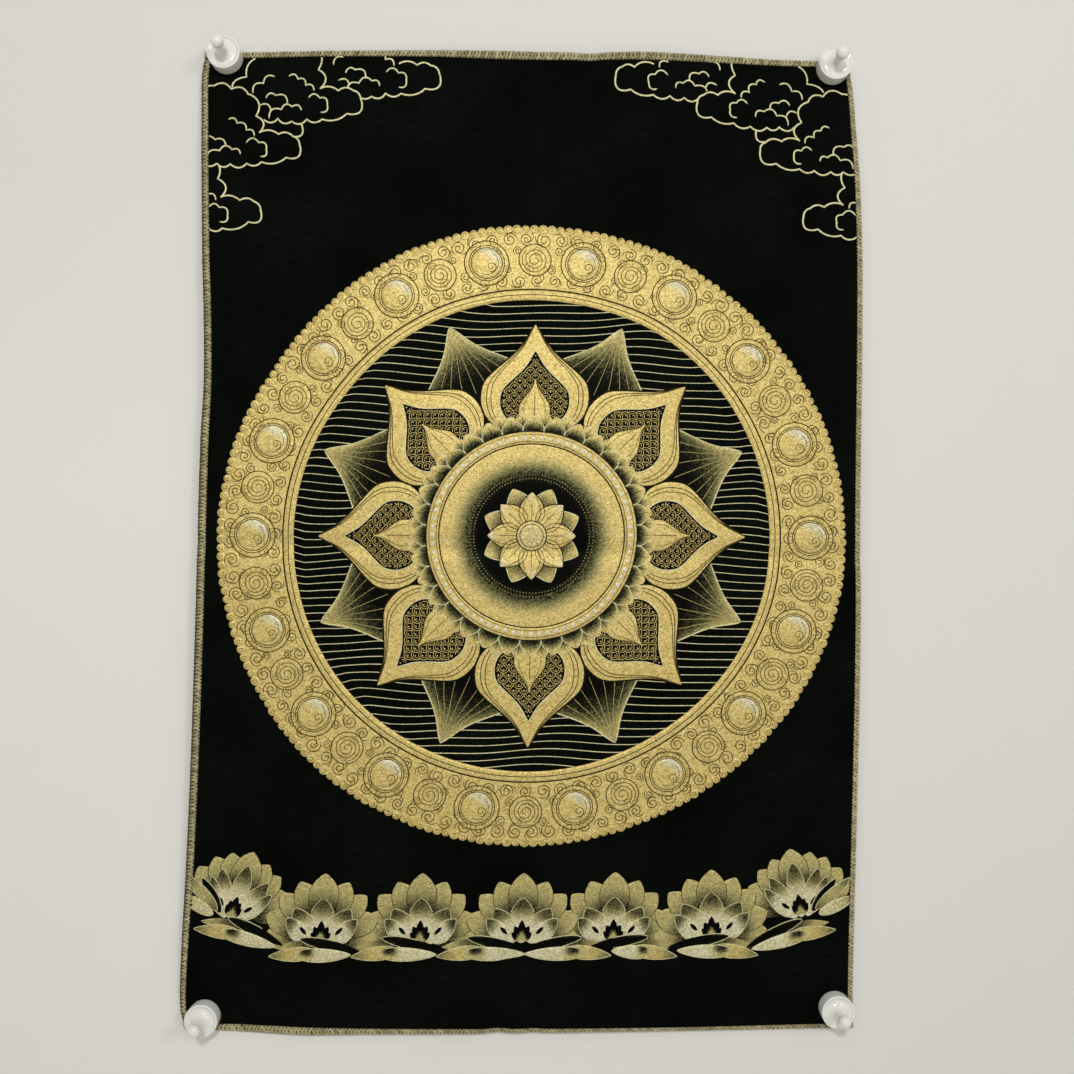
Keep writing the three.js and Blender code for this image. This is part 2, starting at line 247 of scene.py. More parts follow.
def copies(faces, count, step):
    """The faces of equal grids that follow one another in the points, a step of points apart."""
    return faces[None] + (np.arange(count) * step)[:, None, None]


def facing_out(points, faces, inner, tested=None):
    """The faces, all turned over if they look inwards. Their normals are set against the way
    out from the inner points, given for their corners. It is enough to test the first few."""
    a, b, c, d = (points[faces[:tested, n]] for n in range(4))
    normal = np.cross(c - a, d - b)
    away = (a + b + c + d) / 4 - inner[faces[:tested]].mean(axis=1)
    return faces if np.sum(normal * away) > 0 else faces[:, ::-1]


def join(parts):
    """Joins parts, each made of points, faces and values, into whole arrays. A part's faces
    move on by the number of points before it."""
    starts = np.cumsum([0] + [len(part[0]) for part in parts[:-1]])
    moved = [(part[0], part[1] + start, *part[2:]) for part, start in zip(parts, starts)]
    return [np.concatenate(column) for column in zip(*moved)]

# %% From arrays to an object
MERGE_WITHIN = 0.5e-6  # metres


def make_piece(name, points, faces, materials, flat=None, values=None, face_kinds=None):
    """A mesh object from whole arrays, riding on the root body and given its material slot.
    Points that coincide, such as a ring's two ends or a lathe's pole, are merged."""
    mesh = bpy.data.meshes.new(name)
    mesh.vertices.add(len(points))
    mesh.vertices.foreach_set("co", points.astype(np.float32).ravel())
    mesh.loops.add(faces.size)
    mesh.loops.foreach_set("vertex_index", faces.astype(np.int32).ravel())
    mesh.polygons.add(len(faces))
    mesh.polygons.foreach_set("loop_start", np.arange(0, faces.size, 4, dtype=np.int32))
    mesh.polygons.foreach_set("use_smooth", np.ones(len(faces), bool))
    if face_kinds is not None:
        mesh.polygons.foreach_set("material_index", face_kinds.astype(np.int32))
    mesh.update(calc_edges=True)
    if flat is not None:
        layer = mesh.uv_layers.new(name="flat")
        layer.data.foreach_set("uv", (flat[faces.ravel()] * MM).astype(np.float32).ravel())
    for label, value in (values or {}).items():
        attribute = mesh.attributes.new(label, "FLOAT", "POINT")
        attribute.data.foreach_set("value", value.astype(np.float32).ravel())
    mesh.validate()
    merged = bmesh.new()
    merged.from_mesh(mesh)
    bmesh.ops.remove_doubles(merged, verts=merged.verts, dist=MERGE_WITHIN)
    merged.to_mesh(mesh)
    merged.free()
    piece = bpy.data.objects.new(name, mesh)
    bpy.context.scene.collection.objects.link(piece)
    for material in materials:
        mesh.materials.append(material)
    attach(piece, "root")
    print(f"{name}: {len(points)} points, {2 * len(faces)} triangles")
    return piece

# %% [markdown]
# ## Finishes from nodes
# No finish here is an image. Each one reads the flat place of the cloth or the object's own place,
# and turns noise, cells and waves into colour and bump. Colours are written as they look, from 0
# to 1, and turned to light values once.

# %% Helpers for shader nodes
def paint(red, green, blue):
    """A colour as it looks on a screen, turned to the light values that a shader takes."""
    seen = np.array([red, green, blue])
    light = np.where(seen <= 0.04045, seen / 12.92, ((seen + 0.055) / 1.055) ** 2.4)
    return (*light.tolist(), 1.0)


def new_material(name, roughness, specular):
    """A material with one Principled shader, and its tree and shader."""
    material = bpy.data.materials.new(name)
    material.use_nodes = True
    shader = material.node_tree.nodes["Principled BSDF"]
    shader.inputs["Roughness"].default_value = roughness
    shader.inputs["Specular IOR Level"].default_value = specular
    return material, material.node_tree, shader


def fill_input(tree, socket, value):
    """Gives an input a number or a colour, or links it to another node's output."""
    if isinstance(value, bpy.types.NodeSocket):
        tree.links.new(value, socket)
    else:
        socket.default_value = value


def add_node(tree, kind, inputs=None, **settings):
    """A shader node with its settings, and its inputs by name or number."""
    node = tree.nodes.new("ShaderNode" + kind)
    for key, value in settings.items():
        setattr(node, key, value)
    for key, value in (inputs or {}).items():
        fill_input(tree, node.inputs[key], value)
    return node


def sums(tree, operation, first, second):
    """The output of one Math node."""
    return add_node(tree, "Math", {0: first, 1: second}, operation=operation).outputs[0]


def rescale(tree, value, low, high, to_low=0.0, to_high=1.0):
    """A value carried from one range to another, and held inside it."""
    inputs = {"Value": value, "From Min": low, "From Max": high,
              "To Min": to_low, "To Max": to_high}
    return add_node(tree, "MapRange", inputs).outputs[0]


def blend_colours(tree, share, first, second):
    """The colour that lies the given share of the way from the first to the second."""
    return add_node(tree, "Mix", {0: share, 6: first, 7: second}, data_type="RGBA").outputs[2]

# %% Helpers that read a place, and that set the surface
def point_value(tree, label):
    """The value that each point of the mesh carries under a label."""
    return add_node(tree, "Attribute", attribute_name=label).outputs["Fac"]


def own_place(tree):
    """The place on the object itself, in metres."""
    return add_node(tree, "TexCoord").outputs["Object"]


def flat_place(tree, across=1.0, down=1.0):
    """The flat place on the cloth, in metres, stretched by a factor each way."""
    place = add_node(tree, "UVMap", uv_map="flat").outputs[0]
    return add_node(tree, "Mapping", {"Vector": place, "Scale": (across, down, 1.0)}).outputs[0]


def soft_noise(tree, place, scale=1.0, detail=2.0):
    """The height of soft noise at a place, from 0 to 1."""
    inputs = {"Vector": place, "Scale": scale, "Detail": detail}
    return add_node(tree, "TexNoise", inputs).outputs["Fac"]


def set_surface(tree, shader, colour, height=None, distance=0.0):
    """Colours the shader, and bends its normal by a height whose range of 0 to 1 is the given
    distance in metres."""
    tree.links.new(colour, shader.inputs["Base Color"])
    if height is not None:
        bump = add_node(tree, "Bump", {"Height": height, "Distance": distance, "Strength": 1.0})
        tree.links.new(bump.outputs[0], shader.inputs["Normal"])


# %% [markdown]
# ## The black ground
# The ground is a close black weave with a faint green cast. The weft shows as fine level ribs,
# some threads catch a little more light than others, and handling has left soft cloudy patches.
# Over a thousand threads go down the cloth, too many to model, so the weave is colour and bump.
# The back of a brocade carries the threads that the face doesn't need, so there the level
# streaks are strong, and of a dull gold.

# %% The ground's finish
WEFT_PITCH = 0.0008
WAVE_UNIT = np.pi / 10  # a Wave texture of scale 1 repeats after this length
LEVEL_THREADS = (70, 1500)  # grains in a metre, across and down


def ground_finish(name, streak_colour, streak_share):
    """Level ribs, threads of uneven brightness, worn clouds, and streaks on bright threads."""
    material, tree, shader = new_material(name, roughness=0.8, specular=0.035)
    place = flat_place(tree)
    ribs = add_node(tree, "TexWave", {"Vector": place, "Scale": WAVE_UNIT / WEFT_PITCH,
                                      "Distortion": 0.4}, bands_direction="Y").outputs["Fac"]
    weft = soft_noise(tree, flat_place(tree, *LEVEL_THREADS), detail=3.0)
    clouds = soft_noise(tree, place, 11.0, detail=4.0)
    worn = sums(tree, "MULTIPLY", rescale(tree, weft, 0.35, 0.75),
                rescale(tree, clouds, 0.35, 0.65))
    colour = blend_colours(tree, worn, paint(0.0135, 0.0205, 0.0115), paint(0.060, 0.078, 0.059))
    streaks = rescale(tree, weft, 0.62, 0.70, 0.0, streak_share)
    colour = blend_colours(tree, streaks, colour, streak_colour)
    set_surface(tree, shader, colour, sums(tree, "ADD", ribs, weft), 0.00006)
    return material


ground = ground_finish("ground_face", paint(0.075, 0.085, 0.07), 0.3)
ground_back = ground_finish("ground_back", paint(0.36, 0.31, 0.19), 0.8)
print("weft ribs", round(1 / WEFT_PITCH), "in a metre")

# %% [markdown]
# ## The gold thread
# Metallic thread never fills an area evenly: each float of it shows as a grain about a millimetre
# long, some bright and some turned away. Cells give every grain its own brightness and height.
# Two attributes steer the weave. Tone is compared with a grain's own number, so where tone falls
# fewer grains are gold, which is how a weaver shades from gold to black. Pale does the same
# between gold and cream.

# %% The thread's finish
GRAINS = (820.0, 1250.0)  # in a metre, across and down
NIGHT = paint(0.020, 0.028, 0.018)
CREAM_DEEP = paint(0.69, 0.66, 0.50)
CREAM_LIGHT = paint(0.92, 0.89, 0.755)
# the light, middle and deep shade of each thread, and the two it falls to: olive, then shadow
SHADES = {
    "gold_thread": ((0.98, 0.90, 0.64), (0.84, 0.75, 0.46), (0.62, 0.52, 0.27),
                    (0.62, 0.60, 0.39), (0.19, 0.195, 0.13)),
    "olive_gold_thread": ((0.91, 0.86, 0.62), (0.75, 0.70, 0.455), (0.54, 0.495, 0.285),
                          (0.59, 0.56, 0.37), (0.17, 0.17, 0.11)),
    "pale_gold_thread": ((0.95, 0.93, 0.76), (0.88, 0.86, 0.67), (0.70, 0.67, 0.46),
                         (0.64, 0.62, 0.45), (0.19, 0.195, 0.13)),
    "cream_thread": ((0.95, 0.93, 0.84), (0.87, 0.84, 0.72), (0.70, 0.65, 0.50),
                     (0.6, 0.58, 0.45), (0.30, 0.30, 0.24)),
}


def grain_share(tree, value, number):
    """How far a grain follows a value: 1.55 value - 0.55 number, held from 0 to 1, so grains
    with low numbers follow first."""
    excess = sums(tree, "SUBTRACT", sums(tree, "MULTIPLY", value, 1.55),
                  sums(tree, "MULTIPLY", number, 0.55))
    return rescale(tree, excess, 0.0, 1.0)


def thread_finish(name, light, middle, deep, olive, shadow):
    """Grains from deep to middle to light gold, turned to cream by pale and to night by tone."""
    material, tree, shader = new_material(name, roughness=0.48, specular=0.04)
    shader.inputs["Metallic"].default_value = 0.32
    cells = add_node(tree, "TexVoronoi", {"Vector": flat_place(tree, *GRAINS), "Scale": 1.0})
    numbers = add_node(tree, "SeparateColor", {"Color": cells.outputs["Color"]}).outputs
    mottle = soft_noise(tree, flat_place(tree, 260, 260))
    spark = sums(tree, "ADD", sums(tree, "MULTIPLY", numbers[0], 0.75),
                 sums(tree, "MULTIPLY", mottle, 0.5))
    colour = blend_colours(tree, rescale(tree, spark, 0.15, 0.6), deep, middle)
    colour = blend_colours(tree, rescale(tree, spark, 0.7, 1.15), colour, light)
    tone = point_value(tree, "tone")
    colour = blend_colours(tree, rescale(tree, tone, 0.35, 0.97), olive, colour)
    cream = blend_colours(tree, rescale(tree, spark, 0.2, 0.95), CREAM_DEEP, CREAM_LIGHT)
    pale_share = grain_share(tree, point_value(tree, "pale"), numbers[2])
    colour = blend_colours(tree, pale_share, colour, cream)
    dark = blend_colours(tree, rescale(tree, tone, 0.0, 0.7), NIGHT, shadow)
    colour = blend_colours(tree, grain_share(tree, tone, numbers[1]), dark, colour)
    set_surface(tree, shader, colour, sums(tree, "ADD", numbers[2], mottle), 0.00010)
    return material


threads = {name: thread_finish(name, *(paint(*shade) for shade in shades))
           for name, shades in SHADES.items()}

# %% The dark outlining thread
def outline_finish():
    """Brown thread with fine grains, and darker where tone is higher."""
    material, tree, shader = new_material("dark_thread", roughness=0.7, specular=0.06)
    grains = soft_noise(tree, flat_place(tree, 900, 900))
    colour = blend_colours(tree, grains, paint(0.27, 0.225, 0.10), paint(0.44, 0.37, 0.185))
    colour = blend_colours(tree, point_value(tree, "tone"), colour, paint(0.10, 0.09, 0.045))
    set_surface(tree, shader, colour, grains, 0.00006)
    return material


threads["dark_thread"] = outline_finish()
print("threads", list(threads))

# %% [markdown]
# ## The cloth
# The real cloth is one cut length, so it is one closed sheet: a grid of points for the face, the
# same grid set back by the cloth's thickness for the back, and a narrow side that joins their rims.
# The grid's cells are five millimetres, fine enough to carry the narrowest fold as a real shape.
# A Solidify modifier could give the thickness too, but here each side has its own finish.

# %% The cloth panel
CLOTH_COLUMNS = 121
CLOTH_ROWS = 181


def build_cloth():
    """The draped grid at both faces of the cloth, joined by a strip round its rim."""
    across = np.linspace(-HALF_FLAT, HALF_FLAT, CLOTH_COLUMNS)
    down = np.linspace(0, FLAT_LENGTH, CLOTH_ROWS)
    flat = np.stack(np.meshgrid(across, down), axis=-1)
    face = drape(flat, CLOTH_THICK / 2).reshape(-1, 3)
    back = drape(flat, -CLOTH_THICK / 2).reshape(-1, 3)
    front_faces = grid_faces(CLOTH_ROWS, CLOTH_COLUMNS)[:, ::-1]
    back_faces = front_faces[:, ::-1] + len(face)
    index = np.arange(len(face)).reshape(CLOTH_ROWS, CLOTH_COLUMNS)
    rim = np.concatenate([index[0, :-1], index[:-1, -1], index[-1, :0:-1], index[:0:-1, 0]])
    after = np.roll(rim, -1)
    side_faces = np.stack([rim, after, after + len(face), rim + len(face)], axis=-1)
    faces = np.concatenate([front_faces, back_faces, side_faces])
    kinds = np.repeat([0, 1, 0], [len(front_faces), len(back_faces), len(side_faces)])
    points = np.concatenate([face, back])
    flats = np.concatenate([flat.reshape(-1, 2)] * 2)
    return make_piece("cloth", points, faces, [ground, ground_back], flats,
                      face_kinds=kinds)


cloth = build_cloth()
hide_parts("cloth_panel")

# %% [markdown]
# ## The overlocked edging
# An overlocker wraps the raw edge in thread: a smooth core hugs the edge, and slanting strands
# cross it from the face round to the back, one about every three millimetres. The core is a
# U-shaped section carried along each edge. The strands could be hundreds of bevelled curves. One
# formula for all is quicker: a half-buried tube, whose path goes round the section while it
# slides along the edge.

# %% Places along an edge
# each side's table, the flat direction that it runs in, 0 across or 1 down, where it lies in the
# other direction, and which way is inwards there
SIDES = {
    "top": (TOP_EDGE, 0, 0.0, 1.0),
    "bottom": (BOTTOM_EDGE, 0, FLAT_LENGTH, -1.0),
    "left": (LEFT_EDGE, 1, -HALF_FLAT, 1.0),
    "right": (RIGHT_EDGE, 1, HALF_FLAT, -1.0),
}
FLAT_ENDS = [(-HALF_FLAT, HALF_FLAT), (0.0, FLAT_LENGTH)]


def edge_frame(side, along):
    """At places along a side: the hung edge point, the unit way out of the cloth, and the reach
    of the edging. along is the flat place, which may run past the cloth's corner."""
    rows, runs, fixed, inward = SIDES[side]
    held = np.clip(along, *FLAT_ENDS[runs])
    flat = np.empty((*np.shape(along), 2))
    flat[..., runs] = held
    flat[..., 1 - runs] = fixed
    edge = hang(flat)
    reach = follow(rows, 2, edge[..., runs])
    flat[..., 1 - runs] = fixed + inward * reach
    out = edge - hang(flat)
    out /= np.linalg.norm(out, axis=-1, keepdims=True)
    edge[..., runs] += along - held
    return edge, out, reach


def edge_points(edge, out, beyond, depth):
    """Points a distance beyond the cloth's edge and in front of its middle, in metres."""
    held = edge + out * np.minimum(beyond, 0)[..., None]
    place = edge + out * beyond[..., None]
    y = -(stand_off(held[..., 0], held[..., 1]) + depth)
    return np.stack([place[..., 0], y, -place[..., 1]], axis=-1) * MM


def section_middles(edge, out, reach, count):
    """The middle of the edging's section at each place, repeated for the points round it."""
    middle = edge + out * (EDGE_INSET - (reach + EDGE_INSET) / 2)[..., None]
    level = np.zeros_like(reach)
    return np.repeat(edge_points(middle, out, level, level).reshape(-1, 3), count, axis=0)


# %% The edging's sizes and section
CORE_HALF = 1.35
SLOT_HALF = 0.85
SLOT_FLOOR = 0.3  # how far past the cloth's edge the slot goes
STRAND_RISE = 0.75
RIM_DRAW = 0.7  # the core stops this far short of the edging's outer line
CORE_STEP = 5.0
CORE_TURN = 14
STRAND_STEPS = 15
STRAND_TURN = 5
LIP_ANGLE = np.radians(166)
UPRIGHT_RUN = (6.5, FLAT_LENGTH - 4.5)  # the level edgings cover the corners
# pitch, half width, slant, how dark the rim is painted, as painted shade where the outer flank
# turns from the light, the share of the path where that painted shade starts, and the tone of the
# darkest strands
STRANDS = {
    "top": (3.2, 1.2, -4.4, 0.65, 0.41, 0.34), "bottom": (3.4, 1.2, -6.0, 0.5, 0.40, 0.42),
    "left": (3.2, 1.25, 4.4, 0.85, 0.29, 0.38), "right": (3.2, 1.25, -4.4, 0.3, 0.40, 0.46),
}


def section(reach, angle, grow):
    """The edging's outer section: a flattened oval from the lip on the face, at LIP_ANGLE, over
    the rim at 0, to the lip on the back. beyond = middle + half * cos^0.7, depth = sin^0.6."""
    half = (reach + EDGE_INSET - RIM_DRAW) / 2
    cosine, sine = np.cos(angle), np.sin(angle)
    beyond = EDGE_INSET - RIM_DRAW - half + (half + grow) * np.sign(cosine) * np.abs(cosine) ** 0.7
    depth = (CORE_HALF + grow) * np.sign(sine) * np.abs(sine) ** 0.6
    return beyond, depth


def side_run(side):
    """The first and last flat place of a side's edging."""
    return UPRIGHT_RUN if SIDES[side][1] else (-HALF_FLAT - EDGE_INSET, HALF_FLAT + EDGE_INSET)

# %% The core
def build_core(side):
    """Carries the U section along one side: the outer oval from lip to lip, and back along a slot
    that clears the cloth. The two ends are closed by faces between the oval and the slot."""
    low, high = side_run(side)
    along = np.linspace(low, high, int((high - low) / CORE_STEP))
    edge, out, reach = edge_frame(side, along)
    angle = np.linspace(LIP_ANGLE, -LIP_ANGLE, CORE_TURN)
    beyond, depth = section(reach[:, None], angle[None, :], 0.0)
    slot_depth = np.broadcast_to(SLOT_HALF * np.sign(angle), depth.shape)
    beyond = np.concatenate([beyond, np.minimum(beyond, SLOT_FLOOR)[:, ::-1]], axis=1)
    depth = np.concatenate([depth, slot_depth[:, ::-1]], axis=1)
    points = edge_points(edge[:, None], out[:, None], beyond, depth).reshape(-1, 3)
    steps, ring = len(along), 2 * CORE_TURN
    k = np.arange(CORE_TURN - 1)
    cap = np.stack([k, k + 1, ring - 2 - k, ring - 1 - k], axis=-1)
    faces = np.concatenate([grid_faces(steps, ring, round_columns=True), cap[:, ::-1],
                            cap + (steps - 1) * ring])
    faces = facing_out(points, faces, section_middles(edge, out, reach, ring), tested=CORE_TURN - 1)
    flat = np.stack([np.repeat(np.arange(steps) * CORE_STEP, ring),
                     np.tile(np.arange(ring) * 2.0, steps)], axis=-1)
    # tone 0 gives the core the deep brown that is painted shade for the hollows between strands
    return points, faces, np.zeros(len(points)), flat

# %% The strands
def build_strands(side, chance, low_path, high_path, slant, lift):
    """All strands of a side at once, as an array of strand, step along it and step round it. The
    path's angle runs from lip to lip; its place along the edge slides by the slant on the face,
    and back again behind."""
    pitch, half_wide, _, rim_painted_shade, rim_shade_start, least_tone = STRANDS[side]
    low, high = side_run(side)
    count = int(round((high - low) / pitch))
    pitch = (high - low) / count
    start = low + (np.arange(count) + 0.5) * pitch + chance.normal(0, 0.08 * pitch, count)
    path = np.linspace(low_path, high_path, STRAND_STEPS)
    angle = mix(LIP_ANGLE, -LIP_ANGLE, path)
    slide = slant * (0.5 - np.abs(2 * path - 1)) * chance.uniform(0.85, 1.15, (count, 1))
    along = np.clip(start[:, None] + slide, low + 0.5, high - 0.5)
    edge, out, reach = edge_frame(side, along)
    turn = np.linspace(-0.12 * np.pi, 1.12 * np.pi, STRAND_TURN)
    own = (path - low_path) / (high_path - low_path)
    taper = np.sqrt(np.clip(np.sin(np.pi * mix(0.05, 0.95, own)), 0, 1))
    wide = half_wide * chance.uniform(0.88, 1.10, (count, 1)) * mix(0.45, 1.0, taper)
    grow = STRAND_RISE * taper * chance.uniform(0.85, 1.1, (count, 1)) + lift
    above = np.sin(turn) * grow[..., None] - 0.12
    beyond, depth = section(reach[..., None], angle[None, :, None], above)
    moved = np.repeat(edge[:, :, None], STRAND_TURN, axis=2)
    moved[..., SIDES[side][1]] += np.cos(turn) * wide[..., None]
    points = edge_points(moved, out[:, :, None], beyond, depth)
    faces = copies(grid_faces(STRAND_STEPS, STRAND_TURN), count, STRAND_STEPS * STRAND_TURN)
    faces = facing_out(points.reshape(-1, 3), faces.reshape(-1, 4),
                       section_middles(edge, out, reach, STRAND_TURN))
    # painted shade: each strand darkens towards the outer rim, by a set amount on each side
    shade = 1 - rim_painted_shade * smooth(rim_shade_start - 0.06, rim_shade_start + 0.04, path)
    tone = chance.uniform(least_tone, 1, count)[:, None, None] * shade[:, None] + 0 * turn
    roundways = np.broadcast_to(np.linspace(0, 1, STRAND_TURN), tone.shape)
    lengthways = path[:, None] + np.arange(count)[:, None, None] * 1.7 + 0 * turn
    flat = np.stack([roundways, lengthways], axis=-1)
    return points.reshape(-1, 3), faces, tone.ravel(), flat.reshape(-1, 2) / MM


# %% The edging's finish
def edging_finish():
    """Tan-gold thread: tone gives each strand its own brightness and carries the painted shade of
    the rim, and fine filaments run along it. Where tone is 0, as on the core in the hollows between
    strands, it is a deep brown: dark thread darkened further as painted shade."""
    material, tree, shader = new_material("edging_thread", roughness=0.62, specular=0.15)
    filaments = soft_noise(tree, flat_place(tree, 9000, 2200))
    wear = soft_noise(tree, own_place(tree), 60.0)
    thread = blend_colours(tree, rescale(tree, filaments, 0.3, 0.7), paint(0.62, 0.575, 0.41),
                           paint(0.85, 0.81, 0.64))
    thread = blend_colours(tree, rescale(tree, wear, 0.5, 0.75, 0.0, 0.4), thread,
                           paint(0.50, 0.47, 0.34))
    share = rescale(tree, point_value(tree, "tone"), 0.0, 0.95)
    # painted shade: low tone blends the thread to this deep brown, in the hollows and on the rim
    colour = blend_colours(tree, share, paint(0.25, 0.22, 0.13), thread)
    set_surface(tree, shader, colour, filaments, 0.00012)
    return material


edging_thread = edging_finish()

# %% The four edged sides
def build_edging(side, seed):
    """The core, the strands that wrap it, and a second, shorter set that crosses the first on
    the face and makes small loops."""
    chance = np.random.default_rng(seed)
    slant, rim_shade_start = STRANDS[side][2], STRANDS[side][4]
    parts = [build_core(side), build_strands(side, chance, 0.0, 1.0, slant, 0.0),
             build_strands(side, chance, 0.04, rim_shade_start, -1.1 * slant, 0.12)]
    points, faces, tone, flat = join(parts)
    return make_piece("edging_" + side + "_wrap", points, faces, [edging_thread],
                      flat, {"tone": tone})


for number, side in enumerate(SIDES):
    build_edging(side, seed=40 + number)
    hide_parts("edging_" + side)

# %% [markdown]
# ## The pins
# Each pin is a magnetic push pin of white plastic: a drum with a rounded rim and a slightly sunken
# face, from which a waisted neck rises to a ball grip. It is round all the way up, so it is made
# as on a lathe: one profile, carried round the pin's own axis. A Screw modifier would do the same.

# %% The pins' finish
def clouded(tree, scale, detail, first, second):
    """Two colours blended by soft clouds on the object: the colour, and the clouds."""
    clouds = soft_noise(tree, own_place(tree), scale, detail)
    return blend_colours(tree, clouds, paint(*first), paint(*second)), clouds


def plastic_finish():
    """White moulded plastic: a faint waviness from the mould, and a few rubbed, duller patches."""
    material, tree, shader = new_material("pin_plastic", roughness=0.16, specular=0.5)
    colour, clouds = clouded(tree, 90.0, 3.0, (0.90, 0.895, 0.865), (0.935, 0.93, 0.905))
    tree.links.new(rescale(tree, clouds, 0.3, 0.7, 0.12, 0.24), shader.inputs["Roughness"])
    shader.inputs["Coat Weight"].default_value = 0.3
    shader.inputs["Coat Roughness"].default_value = 0.06
    set_surface(tree, shader, colour, clouds, 0.00008)
    return material


pin_plastic = plastic_finish()

# %% The pins
PIN_BACK = 2 * EDGING_HALF + 0.3  # the pin's back, in front of the wall
FOOT_RADIUS, FOOT_DEPTH, DISH = 15.0, 13.0, 0.5
RIM_ROUND, BACK_ROUND = 0.9, 0.4
NECK_RADIUS, FLARE_RADIUS = 3.2, 11.0
BALL_RADIUS, BALL_MIDDLE = 5.9, 31.5
PIN_TURN = 88


def pin_profile():
    """Radius and height of the pin's outline, from the middle of its back to the tip of the ball:
    a rounded back rim, a rounded front rim, the dish, the flare and neck, and the ball."""
    quarter = np.linspace(0, np.pi / 2, 7)
    drum = FOOT_RADIUS - RIM_ROUND
    back = np.stack([drum + RIM_ROUND - BACK_ROUND + BACK_ROUND * np.sin(quarter),
                     BACK_ROUND - BACK_ROUND * np.cos(quarter)])
    front = np.stack([drum + RIM_ROUND * np.cos(quarter),
                      FOOT_DEPTH - RIM_ROUND + RIM_ROUND * np.sin(quarter)])
    lip = np.stack([drum - RIM_ROUND * np.sin(quarter),
                    FOOT_DEPTH - DISH * (1 - np.cos(quarter))])
    neck_angle = np.arcsin(NECK_RADIUS / BALL_RADIUS)
    neck_top = BALL_MIDDLE - BALL_RADIUS * np.cos(neck_angle)
    t = np.linspace(0, 1, 18)
    flare = np.stack([mix(FLARE_RADIUS, NECK_RADIUS, 1 - (1 - t) ** 2.6),
                      mix(FOOT_DEPTH - DISH, neck_top, t ** 1.5)])
    angle = np.linspace(neck_angle + 0.12, np.pi, 26)
    ball = np.stack([BALL_RADIUS * np.sin(angle), BALL_MIDDLE - BALL_RADIUS * np.cos(angle)])
    middle = np.array([[0.0, 6.0], [0.0, 0.0]])
    return np.concatenate([middle, back, front, lip[:, 1:], flare, ball], axis=1)


def build_pin(name, across, down):
    """Turns the profile about the axis that points out of the wall, -Y."""
    radius, height = pin_profile()
    turn = np.arange(PIN_TURN) * 2 * np.pi / PIN_TURN
    x = across + radius[:, None] * np.cos(turn)
    z = -down + radius[:, None] * np.sin(turn)
    y = np.broadcast_to(-(PIN_BACK + height)[:, None], x.shape)
    points = np.stack([x, y, z], axis=-1).reshape(-1, 3) * MM
    inner = np.array([across, -PIN_BACK - FOOT_DEPTH / 2, -down]) * MM
    faces = facing_out(points, grid_faces(*x.shape, round_columns=True),
                       np.broadcast_to(inner, points.shape))
    return make_piece(name + "_turned", points, faces, [pin_plastic])


pins = {name: build_pin(name, *place) for name, place in PINS.items()}
for name, pin in pins.items():
    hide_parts(name)

# %% [markdown]
# ## Stitching on the cloth
# A brocade's figures are floats of thread that stand a few tenths of a millimetre proud. Two
# shapes make nearly all of them: a ribbon, which is a rounded strip along a line, and a patch,
# which fills the space between two side lines. Both are worked out on the flat cloth and then
# draped, so they follow every swell. Bump alone would give them no thickness from the side. Their
# borders are tucked under the layer that they lie on, so no gap shows.

# %% A bundle of grids
FACE = CLOTH_THICK / 2
TUCK = 0.2  # how far a border goes under the layer that it lies on
FINE_LINE = 0.55  # a ribbon whose half width is smaller gets the plainer section
SEWN_LEFT, SEWN_RIGHT, SEWN_TOP = -294.8, 296.6, 3.2  # past these a face lies under the edging


def stitch(bundle, flat, rise, tone=1.0, pale=0.0, keep=None, closed=False):
    """Adds grids to a bundle. flat has the shape piece, row, column, (across, down). A row step is
    left out where keep is false at either of its ends."""
    pieces, rows, columns = flat.shape[:3]
    faces = copies(grid_faces(rows, columns, round_columns=closed), pieces, rows * columns)
    if keep is not None:
        both = keep[:, :-1] & keep[:, 1:]
        faces = faces.reshape(pieces, rows - 1, -1, 4)[both]
    values = [np.broadcast_to(value, flat.shape[:3]).ravel() for value in (rise, tone, pale)]
    bundle.append((flat.reshape(-1, 2), faces.reshape(-1, 4), *values))

# %% Ribbons
def ribbon(bundle, lines, half_wide, lift, height=0.3, tone=1.0, keep=None, ends=True):
    """A rounded strip along each line of an array of line, step, (across, down). The section is
    highest in the middle, with both borders tucked in: five points across, or four for a fine
    line."""
    run = np.gradient(lines, axis=1)
    run /= np.maximum(np.linalg.norm(run, axis=-1, keepdims=True), 1e-9)
    side = np.stack([-run[..., 1], run[..., 0]], axis=-1)
    wide = np.broadcast_to(half_wide, lines.shape[:2]).copy()
    if ends:
        wide[:, [0, -1]] *= 0.35
    place = np.array([-1.0, -0.62, 0.0, 0.62, 1.0])
    crown = np.array([0.0, 0.75, 1.0, 0.75, 0.0])
    if np.max(half_wide) < FINE_LINE:
        place = np.array([-1.0, -0.5, 0.5, 1.0])
        crown = np.array([0.0, 0.9, 0.9, 0.0])
    flat = lines[:, :, None] + side[:, :, None] * (wide[..., None] * place)[..., None]
    stitch(bundle, flat, lift - TUCK + crown * (height + TUCK), tone, keep=keep)


def side_ribbons(bundle, sides, half_wide, lift, height, inset=0.0, stop=None, tone=1.0):
    """A ribbon along both side lines, moved in by a share of the width, up to a step."""
    for near, far in (sides, sides[::-1]):
        ribbon(bundle, mix(near, far, inset)[:, :stop], half_wide, lift, height, tone)

